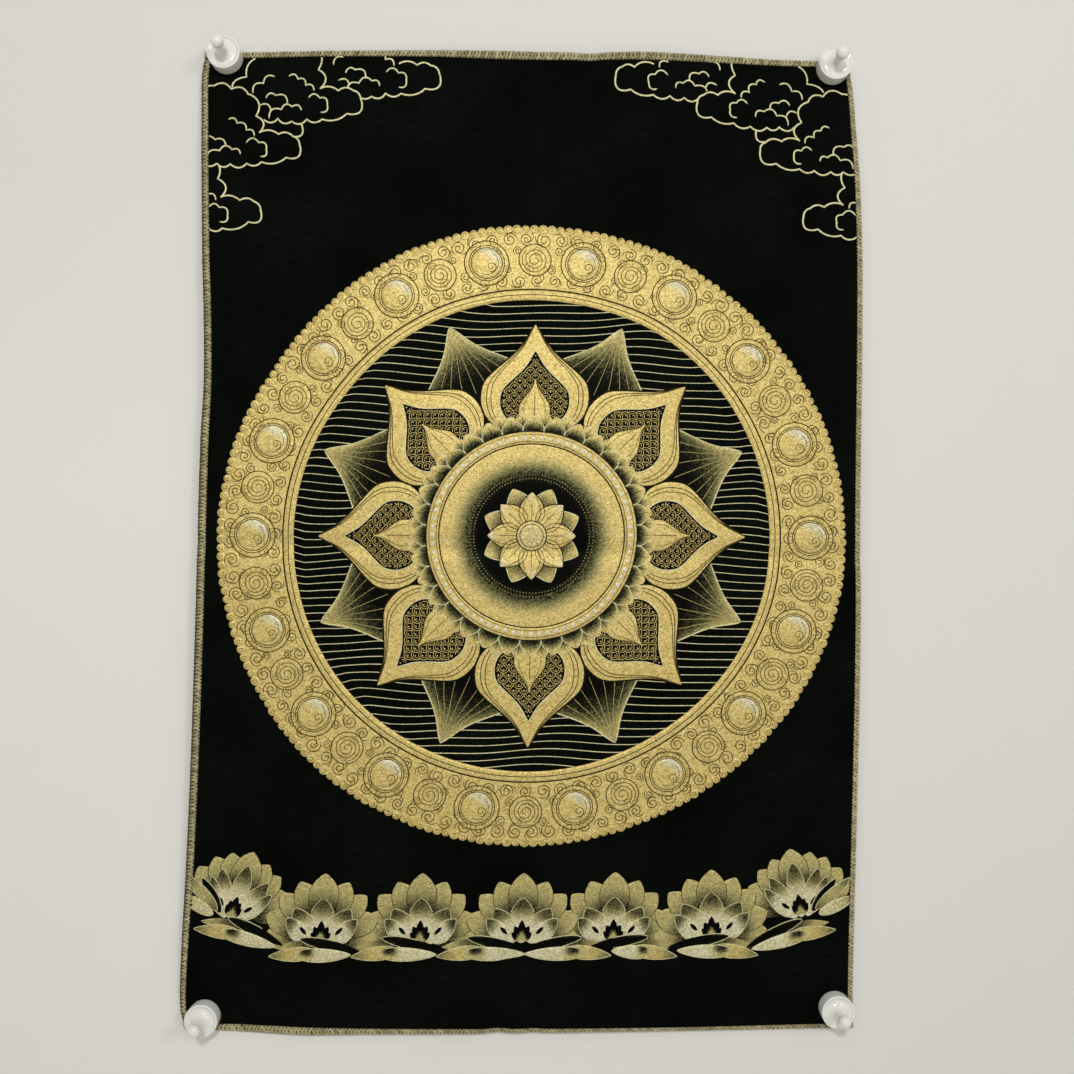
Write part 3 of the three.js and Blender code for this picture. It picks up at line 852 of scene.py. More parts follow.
# %% Patches and domes
def patch(bundle, sides, lift, crown=0.3, across=9, tone=1.0, pale=0.0, ends=True):
    """A filled shape between two side lines, arrays of shape, step, (across, down). It domes by
    the crown times 1 - (2t - 1)^4. tone and pale may be functions of s, along, and t, across."""
    left, right = sides
    t = np.concatenate([[0.0], np.linspace(0.015, 0.985, across), [1.0]])
    s = np.linspace(0, 1, left.shape[1])[:, None]
    flat = mix(left[:, :, None], right[:, :, None], t[:, None])
    rise = np.broadcast_to(lift + crown * (1 - (2 * t - 1) ** 4), (len(s), len(t))).copy()
    rise[:, [0, -1]] = lift - TUCK
    if ends:
        rise[[0, -1]] = lift - TUCK
    tone = tone(s, t) if callable(tone) else tone
    pale = pale(s, t) if callable(pale) else pale
    stitch(bundle, flat, rise, tone, pale)


def dome(bundle, centres, radius, lift, height, turn=14, rings=4, tone=1.0, pale=0.0):
    """Round raised dots: the rise is lift + height * sqrt(1 - r^2), and the border is tucked.
    pale may be a function of the place in the dot, right and up, from -1 to 1."""
    r = np.concatenate([np.linspace(0, 0.93, rings), [1.0]])[:, None]
    angle = np.arange(turn) * 2 * np.pi / turn
    right, up = r * np.sin(angle), r * np.cos(angle)
    size = np.broadcast_to(radius, len(centres))[:, None, None, None]
    flat = centres[:, None, None] + size * np.stack([right, -up], axis=-1)
    rise = lift + height * np.sqrt(1 - r * r) + 0 * angle
    rise[-1] = lift - TUCK
    pale = pale(right, up) if callable(pale) else pale
    stitch(bundle, flat, rise, tone, pale, closed=True)

# %% Sewing a bundle on
def sew(name, bundle, material):
    """Joins a bundle into one piece, with every face turned to the viewer's side of the cloth.
    Faces that would run under the edging are left out."""
    flat, faces, rise, tone, pale = join(bundle)
    ring = flat[faces]
    after = np.roll(ring, -1, axis=1)
    turn = np.sum(ring[..., 0] * after[..., 1] - after[..., 0] * ring[..., 1], axis=1)
    faces = np.where((turn > 0)[:, None], faces[:, ::-1], faces)
    low, high = ring.min(axis=1), ring.max(axis=1)
    faces = faces[(low[:, 0] > SEWN_LEFT) & (high[:, 0] < SEWN_RIGHT) & (low[:, 1] > SEWN_TOP)]
    used, faces = np.unique(faces, return_inverse=True)
    points = drape(flat[used], FACE + rise[used])
    return make_piece(name, points, faces.reshape(-1, 4), [threads[material]], flat[used],
                      {"tone": tone[used], "pale": pale[used]})


# %% Circles and curls
HEART = np.array([2.0, 444.0])


def polar(radius, angle, centre=HEART):
    """The place at a radius and an angle, clockwise from straight up, about a centre."""
    radius, angle = np.broadcast_arrays(radius, angle)
    return centre + np.stack([radius * np.sin(angle), -radius * np.cos(angle)], axis=-1)


def turned(right, up, angle, centre):
    """A place given as right and up, turned clockwise by an angle and carried to a centre."""
    right, up, angle = np.broadcast_arrays(right, up, angle)
    across = right * np.cos(angle) + up * np.sin(angle)
    down = right * np.sin(angle) - up * np.cos(angle)
    return centre + np.stack([across, down], axis=-1)


def circles(radius, steps, centres=HEART[None]):
    """A closed circle about each centre: the last point of its line is its first."""
    return polar(radius, np.linspace(0, 2 * np.pi, steps), centres[:, None])


def spiral(centres, radius, turns, phase, hand, steps):
    """A curl about each centre: the radius grows as 0.12 + 0.88 s^0.85 while the angle turns."""
    s = np.linspace(0, 1, steps)
    out = np.broadcast_to(radius, len(centres))[:, None] * (0.12 + 0.88 * s ** 0.85)
    angle = np.broadcast_to(phase, len(centres))[:, None]
    angle = angle + np.broadcast_to(hand, len(centres))[:, None] * 2 * np.pi * turns * s
    return polar(out, angle, centres[:, None])

# %% The sides of a petal, and the inside of an outline
def gathered(s):
    """Even steps drawn together at both ends, (1 - cos(pi s)) / 2, so round tips stay smooth."""
    return (1 - np.cos(np.pi * s)) / 2


def petal(base, angle, length, half_wide, steps=25, bend=0.0, belly=0.6, tip=0.95, point=0.0,
          gather=False):
    """The left and right side lines of pointed petals. The half width follows s^belly times
    (1 - s)^tip, drawn in by the share point on the way from the middle to the tip, and the
    middle line bends sideways by bend * s^2."""
    s = np.linspace(0, 1, steps)
    s = gathered(s) if gather else s
    peak = belly / (belly + tip)
    shape = (s / peak) ** belly * ((1 - s) / (1 - peak)) ** tip + 0.002
    shape = shape * (1 - point * smooth(0.45, 0.9, s))
    angle, grow, wide, bend = (np.atleast_1d(value)[:, None]
                               for value in (angle, length, half_wide, bend))
    base = np.atleast_2d(base)[:, None]
    return [turned(bend * s ** 2 + side * wide * shape, grow * s, angle, base) for side in (-1, 1)]


def inside(points, outline):
    """True for points inside a closed outline: a level ray from the point crosses it an odd
    number of times."""
    a, b = outline, np.roll(outline, -1, axis=0)
    x, y = points[..., 0, None], points[..., 1, None]
    spans = (a[:, 1] > y) != (b[:, 1] > y)
    rise = np.where(b[:, 1] == a[:, 1], 1e-9, b[:, 1] - a[:, 1])
    crossing = a[:, 0] + (y - a[:, 1]) * (b[:, 0] - a[:, 0]) / rise
    return np.sum(spans & (x < crossing), axis=-1) % 2 == 1


def around(count, offset=0.0):
    """Even angles round the circle."""
    return (np.arange(count) + offset) * 2 * np.pi / count


# %% [markdown]
# ## The wheel in the middle
# The design is a plain lotus wheel: petals round a glowing ring, inside a broad band of curls and
# round jewels with a beaded rim. Petals, curls, pearls and ripples are the common stock of such
# cloths, and each is one formula set round the circle. Layers rise by a few tenths of a millimetre
# each, so a patch hides the lines it covers, as the floats of a real brocade do.

# %% The jewelled band
BAND_OUT = 281.0
BAND_IN = 226.5
BAND_MIDDLE = 253.5
BEADS = 222
JEWELS = 18
# radius, number and size of the curls in each row
CURL_ROWS = [(272.3, 108, 6.7), (234.8, 92, 6.3), (262.6, 84, 4.6), (245.0, 78, 4.6)]
chance = np.random.default_rng(7)
golds, darks, pales, creams = [], [], [], []


def annulus(inner, outer, steps, lift, crown, across, **shading):
    """A flat gold ring about the heart, filled between two radii."""
    patch(golds, (circles(inner, steps), circles(outer, steps)), lift, crown, across, ends=False,
          **shading)


def dark_circles(*rows, centres=HEART[None]):
    """Dark circles about each centre, by radius, steps, half width, lift, height and tone."""
    for radius, steps, half_wide, lift, height, tone in rows:
        ribbon(darks, circles(radius, steps, centres), half_wide, lift, height, tone, ends=False)


beads = polar(BAND_OUT + 0.6, around(BEADS))
dome(golds, beads, chance.uniform(3.7, 4.7, BEADS), 0.1, 0.5, turn=12)
annulus(BAND_IN, BAND_OUT, 721, 0.25, 0.1, across=12)
bead_curls = spiral(polar(BAND_OUT + 0.9, around(BEADS)), 2.6, 1.1, around(BEADS), 1, 12)
ribbon(darks, bead_curls, 0.34, 0.45, 0.25, tone=0.0)
for number, (radius, count, size) in enumerate(CURL_ROWS):
    angles = around(count, chance.uniform(0, 1)) + chance.normal(0, 0.002, count)
    sizes = size * chance.uniform(0.86, 1.12, count)
    hands = np.where(np.arange(count) % 2 == number % 2, 1, -1)
    starts = angles + chance.uniform(0, 2 * np.pi, count)
    centres = polar(radius + chance.normal(0, 0.5, count), angles)
    ribbon(darks, spiral(centres, sizes, 1.75, starts, hands, 26), 0.46, 0.42, 0.25, tone=0.15)
    if size > 5:
        arcs = spiral(centres, sizes * 1.32, 0.34, starts + 1.9, hands, 12)
        ribbon(darks, arcs, 0.4, 0.42, 0.22, tone=0.1)
print("beads", BEADS, "and curls", sum(count for _, count, _ in CURL_ROWS))

# %% Whorls and jewels on the band
def glint(right, up):
    """Cream at the upper right of a jewel, fading to gold by the middle."""
    return smooth(0.0, 0.85, 0.5 * right + 0.87 * up) * 0.95


whorls = polar(BAND_MIDDLE, around(JEWELS))
dome(golds, whorls, 15.5, 0.5, 0.12, turn=40, rings=6)
dark_circles((14.6, 49, 0.5, 0.62, 0.25, 0.3), centres=whorls)
ribbon(darks, spiral(whorls, 12.2, 2.9, around(JEWELS), 1, 70), 0.46, 0.62, 0.25, tone=0.2)

jewels = polar(BAND_MIDDLE, around(JEWELS, 0.5))
dome(golds, jewels, 21.5, 0.5, 0.12, turn=48, rings=6)
dome(golds, jewels, 14.4, 0.66, 0.75, turn=44, rings=9, pale=glint)
dark_circles((20.3, 61, 0.55, 0.62, 0.25, 0.3), (16.2, 53, 0.5, 0.62, 0.25, 0.4),
             (14.3, 53, 0.45, 0.62, 0.3, 0.5), centres=jewels)
curls = jewels + np.array([4.2, 3.4])
dome(golds, curls, 5.4, 1.2, 0.2, turn=24)
ribbon(darks, spiral(curls, 4.9, 1.45, 0.6, 1, 30), 0.46, 1.3, 0.28, tone=0.3)
tails = np.linspace(0.2 * np.pi, 1.15 * np.pi, 30)[::-1]
ribbon(darks, polar(10.6, tails, jewels[:, None]), 0.42, 0.98, 0.28, tone=0.3)
print("whorls", len(whorls), "and jewels", len(jewels))

# %% The plain rim inside the band
annulus(216.5, BAND_IN, 601, 0.45, 0.3, across=5)
dark_circles((BAND_IN - 0.3, 601, 0.75, 0.5, 0.3, 1.0), (221.4, 601, 0.5, 0.72, 0.25, 1.0))

# %% [markdown]
# ## The ripples
# Behind the petals the ground shows, crossed by fine level lines like water. Each line is a
# chord of the circle with two slow waves added, so no two lines run quite alike.

# %% Ripple lines
RIPPLE_REACH = 219.0
PETAL_COVER = 125  # nearer the heart than this, petals hide the ripples
heights = np.arange(-213, 214, 7.1)[:, None]
chords = np.sqrt(RIPPLE_REACH ** 2 - heights ** 2)
line_across = chords * np.linspace(-1, 1, 150)
waves = 2.3 * np.sin(line_across / 41 + heights * 0.021)
waves = waves + 1.1 * np.sin(line_across / 17 + heights * 0.045 + 1.0)
line_down = heights + waves * np.clip((chords - np.abs(line_across)) / 12, 0, 1)
ripples = HEART + np.stack([line_across, line_down], axis=-1)
ribbon(pales, ripples, chance.uniform(0.40, 0.52, (len(heights), 1)), 0.02, 0.26, tone=0.97,
       keep=np.hypot(line_across, line_down) > PETAL_COVER)
print("ripples", len(ripples))

# %% [markdown]
# ## The petals of the wheel
# Eight broad gold petals stand in front of eight shaded ones. A front petal is a whole gold patch
# with doubled dark lines inside its edge; on it lies a black heart worked with fine gold scales,
# and in that a small gold bud. The shaded petals fall from gold at the rim to olive and black.

# %% Shaded petals behind
def back_tone(s, t):
    """Gold at the tip and the sides, olive and dark towards the base and the middle line."""
    side = np.abs(2 * t - 1)
    return np.clip(0.02 + 0.72 * smooth(0.5, 1.02, s) + 0.42 * side ** 4 + 0 * t, 0, 0.95)


def back_pale(s, t):
    """A little cream near the tip, on the middle line."""
    return 0.35 * smooth(0.7, 1.0, s) * (1 - (2 * t - 1) ** 2)


petal_golds = []
angles = around(8, 0.5)
back = petal(polar(92.0, angles), angles, 114, 52, steps=44, belly=0.5, tip=0.9, point=0.5)
patch(petal_golds, back, 0.25, 0.35, across=24, tone=back_tone, pale=back_pale)
side_ribbons(pales, back, 0.62, 0.38, 0.32)
for share in np.linspace(0.17, 0.83, 7):
    ribbon(petal_golds, mix(*back, share)[:, 18:40], 0.34, 0.55, 0.2, tone=0.8)
print("shaded petals", len(back[0]))

# %% Gold petals in front
PETAL = {"belly": 0.5, "tip": 0.92, "point": 0.52}
HEART_LENGTH, HEART_HALF = 72.0, 32.0
front_angles = around(8)
front = petal(polar(90.0, front_angles), front_angles, 104, 50, steps=52, **PETAL)
patch(petal_golds, front, 0.62, 0.5, across=26)
for inset, half_wide, tone in ((0.0, 0.75, 1.0), (0.06, 0.42, 0.5), (0.1, 0.36, 0.3)):
    side_ribbons(darks, front, half_wide, 0.78 + 3 * inset, 0.3, inset, stop=51, tone=tone)
heart_base = polar(98.0, front_angles)
hearts = petal(heart_base, front_angles, HEART_LENGTH, HEART_HALF, steps=36, **PETAL)
patch(petal_golds, hearts, 1.16, 0.15, across=16, tone=0.0)
side_ribbons(pales, hearts, 0.6, 1.22, 0.32)
print("gold petals", len(front[0]))

# %% Scales on the hearts
def scale_arcs(rows, columns, pitch, share):
    """Rows of half rings that overlap like scales: each row is shifted by half a pitch and
    raised by half a pitch. share is the ring's part of the full radius, half a pitch."""
    row, column = np.meshgrid(np.arange(rows), np.arange(columns), indexing="ij")
    middle = (column - (columns - 1) / 2 + 0.5 * (row % 2)) * pitch
    sweep = np.linspace(-np.pi / 2, np.pi / 2, 9)
    right = middle.reshape(-1, 1) + 0.5 * pitch * share * np.sin(sweep)
    up = row.reshape(-1, 1) * 0.5 * pitch + 0.5 * pitch * share * np.cos(sweep)
    return right, up


own_left, own_right = petal((0.0, 0.0), 0.0, HEART_LENGTH, HEART_HALF, steps=36, **PETAL)
heart_outline = np.concatenate([own_left[0], own_right[0, ::-1]])
heart_within = mix(np.array([0.0, -28.0]), heart_outline, 0.95)
for ring_share, half_wide in ((1.0, 0.40), (0.60, 0.32)):
    scale_right, scale_up = scale_arcs(15, 9, 9.4, ring_share)
    fits = inside(np.stack([scale_right, -scale_up], axis=-1), heart_within)
    scales = turned(scale_right, scale_up, front_angles[:, None, None], heart_base[:, None, None])
    ribbon(petal_golds, scales.reshape(-1, *scales.shape[2:]), half_wide, 1.32, 0.2, tone=0.9,
           keep=np.tile(fits, (8, 1)))
seed_right, seed_up = scale_right[:, 4], scale_up[:, 4] - 1.4
fits = inside(np.stack([seed_right, -seed_up], axis=-1), heart_within)
seeds = turned(seed_right[fits], seed_up[fits], front_angles[:, None], heart_base[:, None])
dome(petal_golds, seeds.reshape(-1, 2), 0.8, 1.3, 0.3, turn=7, rings=2, tone=0.95)
print("seeds in a heart", seeds.shape[1])

# %% A bud in each heart
buds = petal(heart_base, front_angles, 46, 14.5, steps=28, **PETAL)
patch(petal_golds, buds, 1.5, 0.3, across=8)
for inset in (0.0, 0.16):
    side_ribbons(darks, buds, 0.42, 1.6, 0.25, inset, stop=27, tone=0.7)
ribbon(darks, mix(*buds, 0.5)[:, :21], 0.4, 1.8, 0.25, tone=0.5)

# %% The collar of small petals, and the pearled rim
def collar_tone(s, t):
    """Dark at the base, gold at the tip and along both sides."""
    return np.clip(0.05 + 1.0 * smooth(0.25, 1.0, s) + 0.3 * (2 * t - 1) ** 4, 0, 1)


COLLAR_PETALS = 32
PEARLS = 72
for offset, reach, lift in ((0.5, 24.0, 1.65), (0.0, 21.0, 1.9)):
    angles = around(COLLAR_PETALS, offset)
    collar = petal(polar(90.0, angles), angles, reach, 9.4, steps=18, belly=0.3, tip=0.5,
                   point=0.35)
    patch(golds, collar, lift, 0.2, across=7, tone=collar_tone)
    side_ribbons(pales, collar, 0.42, lift + 0.1, 0.25)
    ribbon(darks, mix(*collar, 0.5)[:, 8:15], 0.34, lift + 0.16, 0.2)
annulus(84.0, 96.0, 301, 2.15, 0.25, across=5)
dark_circles((95.7, 301, 0.55, 2.22, 0.25, 1.0), (93.0, 301, 0.38, 2.36, 0.2, 0.5),
             (86.6, 301, 0.38, 2.36, 0.2, 0.5))
dome(creams, polar(89.8, around(PEARLS)), 2.4, 2.34, 0.45, turn=12)
print("collar petals", 2 * COLLAR_PETALS, "and pearls", PEARLS)

# %% [markdown]
# ## The glowing ring and the rosette
# The ring inside the pearls is woven from full gold at its rim down to bare black, by tone alone.
# Two circles of gold specks cross the dark, and a double rosette of petals with a pearled seed
# head fills the middle.

# %% The glowing ring
def glow_tone(s, t):
    """t runs from the inner rim, 0, to the outer rim, 1."""
    return np.clip(1.15 * smooth(0.12, 0.98, t) ** 1.25 + 0 * s, 0, 1)


def glow_pale(s, t):
    """A breath of cream half-way out."""
    return 0.12 * np.exp(-((t - 0.6) / 0.2) ** 2) + 0 * s


annulus(38.0, 84.6, 301, 1.9, 0.05, across=22, tone=glow_tone, pale=glow_pale)
dark_circles((84.2, 301, 0.6, 2.2, 0.25, 1.0))
for radius in (56.0, 52.5):
    specks = polar(radius, around(int(radius * 2.2)))
    dome(golds, specks, 0.55, 1.95, 0.3, turn=6, rings=2, tone=0.75)

# %% The rosette
def rosette_tone(s, t):
    """Dark at the base of a back petal, gold at its tip."""
    return 0.18 + 0.7 * smooth(0.35, 1, s) + 0 * t


def rosette_pale(s, t):
    """Cream at the tip of a front petal, on its middle line."""
    return 0.7 * smooth(0.5, 1, s) * (1 - (2 * t - 1) ** 2)


ROSETTE = {"steps": 22, "belly": 0.62, "tip": 0.9}
angles = around(8, 0.5)
rosette_back = petal(polar(12.0, angles), angles, 34, 12.5, **ROSETTE)
patch(golds, rosette_back, 2.05, 0.25, across=9, tone=rosette_tone)
side_ribbons(pales, rosette_back, 0.5, 2.15, 0.28)
rosette_front = petal(polar(9.0, front_angles), front_angles, 31, 11.6, **ROSETTE)
patch(golds, rosette_front, 2.3, 0.3, across=9, pale=rosette_pale)
side_ribbons(darks, rosette_front, 0.5, 2.42, 0.28, stop=21)
side_ribbons(darks, rosette_front, 0.3, 2.58, 0.22, inset=0.16, stop=19)
ribbon(darks, mix(*rosette_front, 0.5)[:, 3:15], 0.34, 2.6, 0.22)

hub = HEART[None]
dome(golds, hub, 14.0, 2.55, 0.5, turn=60, rings=8)
dark_circles((13.6, 61, 0.55, 2.65, 0.3, 1.0), (10.6, 61, 0.35, 2.9, 0.25, 1.0))
dome(creams, polar(12.1, around(20)), 1.05, 2.75, 0.4, turn=9, rings=3)
seed_places = np.concatenate([hub, polar(4.2, around(6)), polar(8.0, around(12, 0.5))])
dome(creams, seed_places, 1.35, 2.98, 0.4, turn=10, rings=3)
print("gold, dark, pale and cream grids so far", *map(len, (golds, darks, pales, creams)))

# %% [markdown]
# ## The clouds
# Line clouds fill both upper corners. Every cloud is worked from one pattern, as a stitcher would
# use one card: a round body, a flat underside, and a tip that points at the middle of the cloth.
# Anchor points are joined by bulging arcs, and shorter runs of arcs are the curls. Each anchor is
# nudged a little, as by hand. Nearer clouds hide what lies behind them. Nothing is filled there,
# since the ground shows through, so the hidden stretches of line are left out.

# %% Scalloped lines
ARC_STEPS = 9
# anchors across and down from the neck, where body and tip meet, and how far each arc bulges
CLOUD = np.array([
    (0, 0, 0.17), (17, 2, 0.20), (31, 3, 0.18), (36.5, 10, 0.42), (24, 23, 0.15), (2, 27.5, 0.22),
    (-12, 29, 0.25), (-26, 30, 0.26), (-39, 28.5, 0.26), (-52, 28, 0.24), (-68, 22, 0.25),
    (-77, 8, 0.42), (-68, -13, 0.28), (-55, -30, 0.28), (-42, -44, 0.25), (-25, -41, 0.25),
    (-10, -36, 0.30), (-2, -17, 0.36),
])
CURLS = {
    "tip": [(-11, 9), (0, 9.5), (6.5, 15.5), (0, 22)],
    "shoulder": [(-29, -12), (-20, -9), (-13, -2.5), (-5, 3)],
    "low": [(-47, 27), (-36, 18), (-25, 15.5), (-17.5, 20.5)],
    "brow": [(-50, 9), (-40, 6.5), (-31, 14)],
    "chin": [(-56, 16), (-45.5, 21)],
    "back": [(-61, 3), (-52, -5), (-42, -11)],
}
# each cloud's neck, across and down on the flat cloth, its size, and whether it has curls
CLOUDS = [
    (-248, 73.8, 1.0, True), (-191.5, 33.4, 1.0, True), (-284, 134.5, 1.0, True),
    (-118.5, 10.8, 1.0, True), (-236, 60.0, 0.75, False),
]
CLOUD_SIDE, CLOUD_TOP = 297, 4.5  # the lines stop here, at the edging


def scallops(anchors, bulge, closed=False):
    """Joins anchors by half waves: chord + out * bulge * sin(pi t)^0.8, where out is the chord
    turned a quarter round, so the arc stands off by that share of the chord's length."""
    after = np.roll(anchors, -1, axis=0)
    bulge = np.broadcast_to(bulge, len(anchors))[:, None, None]
    if not closed:
        anchors, after, bulge = anchors[:-1], anchors[1:], bulge[:-1]
    t = np.linspace(0, 1, ARC_STEPS, endpoint=False)[:, None]
    chord = (after - anchors)[:, None]
    out = np.stack([chord[..., 1], -chord[..., 0]], axis=-1)
    line = (anchors[:, None] + chord * t + out * bulge * np.sin(np.pi * t) ** 0.8).reshape(-1, 2)
    return np.concatenate([line, line[:2] if closed else after[-1:]])


def in_sight(line, shown, nearer, least):
    """Where a line shows: not inside any nearer outline, and not in runs of fewer points than
    the least."""
    for outline in nearer:
        shown = shown & ~inside(line, outline)
    change = np.diff(np.concatenate([[0], shown.astype(int), [0]]))
    starts, stops = np.flatnonzero(change == 1), np.flatnonzero(change == -1)
    length = np.zeros(len(shown), int)
    length[shown] = np.repeat(stops - starts, stops - starts)
    return (length >= least)[None]


# %% The clouds of both corners
def add_clouds(hand):
    """hand is 1 for the left corner and -1 for the right one, which is mirrored and varied."""
    outlines = []
    for number, (across, down, size, curled) in enumerate(CLOUDS):
        chance = np.random.default_rng(310 + number + 40 * (hand < 0))
        neck, mirror = np.array([across * hand, down]), np.array([hand, 1]) * size

        def placed(anchors, nudge):
            """The anchors on the cloth, each moved a little by chance."""
            anchors = np.array(anchors, float)
            return neck + (anchors + chance.normal(0, nudge, anchors.shape)) * mirror

        outline = scallops(placed(CLOUD[:, :2], 0.7), CLOUD[:, 2] * hand, closed=True)
        lines = [(outline, 0.92, False)]
        for curl in CURLS.values() if curled else ():
            lines.append((scallops(placed(curl, 0.5), 0.36 * hand), 0.84, True))
        for line, half_wide, ends in lines:
            shown = (np.abs(line[:, 0]) < CLOUD_SIDE) & (line[:, 1] > CLOUD_TOP)
            shown = in_sight(line, shown, outlines, least=7)
            ribbon(pales, line[None], half_wide, 0.04, 0.4, keep=shown, ends=ends)
        outlines.append(outline)
    print("clouds in a corner", len(outlines))


add_clouds(1)
add_clouds(-1)

# %% [markdown]
# ## The row of lotus flowers
# Seven flowers stand in a row under the wheel, and the two end ones are raised and lean inwards. A
# flower is a fan of pointed olive petals behind, and in front a pale cup of five petals with a
# dark star in its heart. Under the flowers runs a chain of long leaves, and the two middle ones
# meet tip to tip. All the petals and blades are listed first. Then they are laid from back to
# front, layer by layer, and a rim is left out where something nearer hides it.

# %% One formula for a petal
LAYER_RISE = 0.05  # how much higher each layer of petals lies than the one beneath
PETAL_STEPS = 25
petals, lotus_golds, lotus_lines = [], [], []


def add_petal(layer, base, angle, length, half_wide, tone, pale=0.0, bend=0.0, belly=0.6, tip=0.8,
              rim=(0.0, 1.0), rim_tone=0.9, bundle=lotus_golds):
    """Lists one petal: its side lines, layer, shading, and the stretch of its length with a rim."""
    sides = petal(base, angle, length, half_wide, PETAL_STEPS, bend, belly, tip, gather=True)
    petals.append((layer, sides, tone, pale, rim, rim_tone, bundle))


def rising(low, high, start, end, side=0.0):
    """A value that climbs from low at the base to high at the tip, and is brighter at the sides."""
    return lambda s, t: np.clip(low + (high - low) * smooth(start, end, gathered(s))
                                + side * np.abs(2 * t - 1) ** 3, 0, 1)


def dark_blade(s, t):
    """Black, with light along both sides of its first half."""
    return 0.02 + 0.5 * np.abs(2 * t - 1) ** 3 * smooth(0.5, 0.0, gathered(s))


def tan_blade(s, t):
    """Tan, and brightest half-way."""
    return 0.46 + 0.38 * np.sin(np.pi * gathered(s)) ** 2 + 0 * t

# %% A flower
# angle, length and half width of the fan's petals, from the lowest to the middle one
FAN = [(1.45, 51, 12), (1.08, 54, 12.5), (0.66, 56, 12), (0.30, 57, 12.5), (0.0, 61, 13.5)]
STAR = [(0.95, 11), (-0.95, 11), (0.48, 14), (-0.48, 14), (0.0, 18)]  # angle and length


def flower(across, down, lean, spread, tall, layer):
    """spread narrows the flower, tall stretches its cup, and layer is its first petals' layer."""
    def at(right, up):
        """The flat place that lies right and up of the flower's base, as the flower leans."""
        return turned(right * spread, up * tall, lean, np.array([across, down], float))

    for number, (angle, length, half_wide) in enumerate(FAN):
        for side in (-1, 1) if angle else (0,):
            add_petal(layer + number, at(0, 0), lean + side * angle * spread, length,
                      half_wide, rising(0.1, 0.90, 0.36, 0.88, side=0.1),
                      rising(0.0, 0.14, 0.8, 1.0), bend=side * 5, belly=1.5, rim=(0.3, 0.97),
                      rim_tone=0.0)
    cup = rising(0.98, 0.30, 0.40, 0.90, side=0.1)
    glow = rising(0.96, 0.0, 0.34, 0.80)
    low_glow = rising(0.96, 0.1, 0.4, 0.9)
    add_petal(layer + 5, at(0, -3), lean, 41 * tall, 12 * spread, cup, glow, tip=0.7,
              rim=(0.45, 1.0))
    for side in (-1, 1):
        add_petal(layer + 6, at(side * 7, -3), lean + side * 0.43 * spread, 36 * tall,
                  11 * spread, cup, glow, bend=side * 3, belly=0.55, tip=0.75, rim=(0.5, 1.0))
        add_petal(layer + 7, at(side * 10, -1), lean + side * 0.97 * spread, 29 * tall,
                  8.5 * spread, cup, low_glow, bend=-side * 4, belly=0.5, tip=0.75,
                  rim=(0.3, 1.0))
        add_petal(layer + 8, at(side * 13, 5), lean + side * 0.75, 9, 1.8, 0.0, belly=0.7,
                  tip=0.7, rim=None)
    for angle, length in STAR:
        add_petal(layer + 8, at(0, 0), lean + angle * spread, length, 4.0,
                  rising(0.85, 0.0, 0.2, 0.55), belly=0.5, rim=None)
    if spread < 1:
        out = np.sign(across)
        add_petal(20, at(out * 13, 0), lean + out * 0.80, 37, 5.0, dark_blade)
        add_petal(21, at(out * 18, 1), lean + out * 1.00, 42, 5.0, tan_blade)
        add_petal(22, at(out * 21, -3), lean + out * 1.30, 36, 5.4, rising(1, 0.4, 0.5, 1),
                  rising(0.6, 0.3, 0, 1))

# %% A leaf
def leaves(outer, inner):
    """The four blades of one long leaf, from its tan outer tip to its pale inner tip."""
    outer, reach = np.array(outer, float), np.subtract(inner, outer)
    hand, length = np.sign(reach[0]), np.hypot(*reach)
    lean = np.arctan2(reach[0], -reach[1]) - hand * np.pi / 2

    def at(inwards, up):
        """The flat place that lies inwards and up of the outer tip, as the leaf leans."""
        return turned(hand * inwards, up, lean, outer)

    def pale_blade(s, t):
        """Pale, with a dark fold beside its base that fades out across the blade."""
        fold = smooth(0.04, 0.14, gathered(s)) * smooth(0.42, 0.2, gathered(s))
        return 1 - 0.85 * fold * smooth(0.1, 0.7, t if hand < 0 else 1 - t)

    add_petal(21, at(40, 12), lean - hand * 1.80, 36, 5.5, rising(0.3, 0.8, 0.2, 0.8),
              bend=hand * 3, tip=0.9, rim=None)
    add_petal(22, at(27, 16), lean + hand * 1.73, 56, 4.8, dark_blade, bend=hand * 2,
              rim=(0.0, 0.6))
    add_petal(23, at(43, 4), lean - hand * 1.66, 43, 6.4, tan_blade, bend=-hand * 2, tip=0.9,
              rim=(0.1, 1.0), bundle=golds)
    add_petal(24, at(24, 2), lean + hand * 1.60, length - 24, 6.2, pale_blade,
              rising(0.0, 0.78, 0.2, 0.45), bend=-hand * 2, belly=0.5, tip=0.75)


# %% The row
# across, down, lean, spread, height of the cup and first layer: every second flower lies over its
# neighbours
FLOWERS = [
    (-258, 794, 0.28, 0.74, 1.25, 0), (253, 793, -0.20, 0.74, 1.25, 0),
    (-88, 815, 0.0, 1.0, 1.0, 0), (85, 815, 0.0, 1.0, 1.0, 0),
    (-177, 814, 0.03, 1.0, 1.0, 12), (173, 813, -0.03, 1.0, 1.05, 12), (3, 815, 0.0, 1.0, 1.0, 12),
]
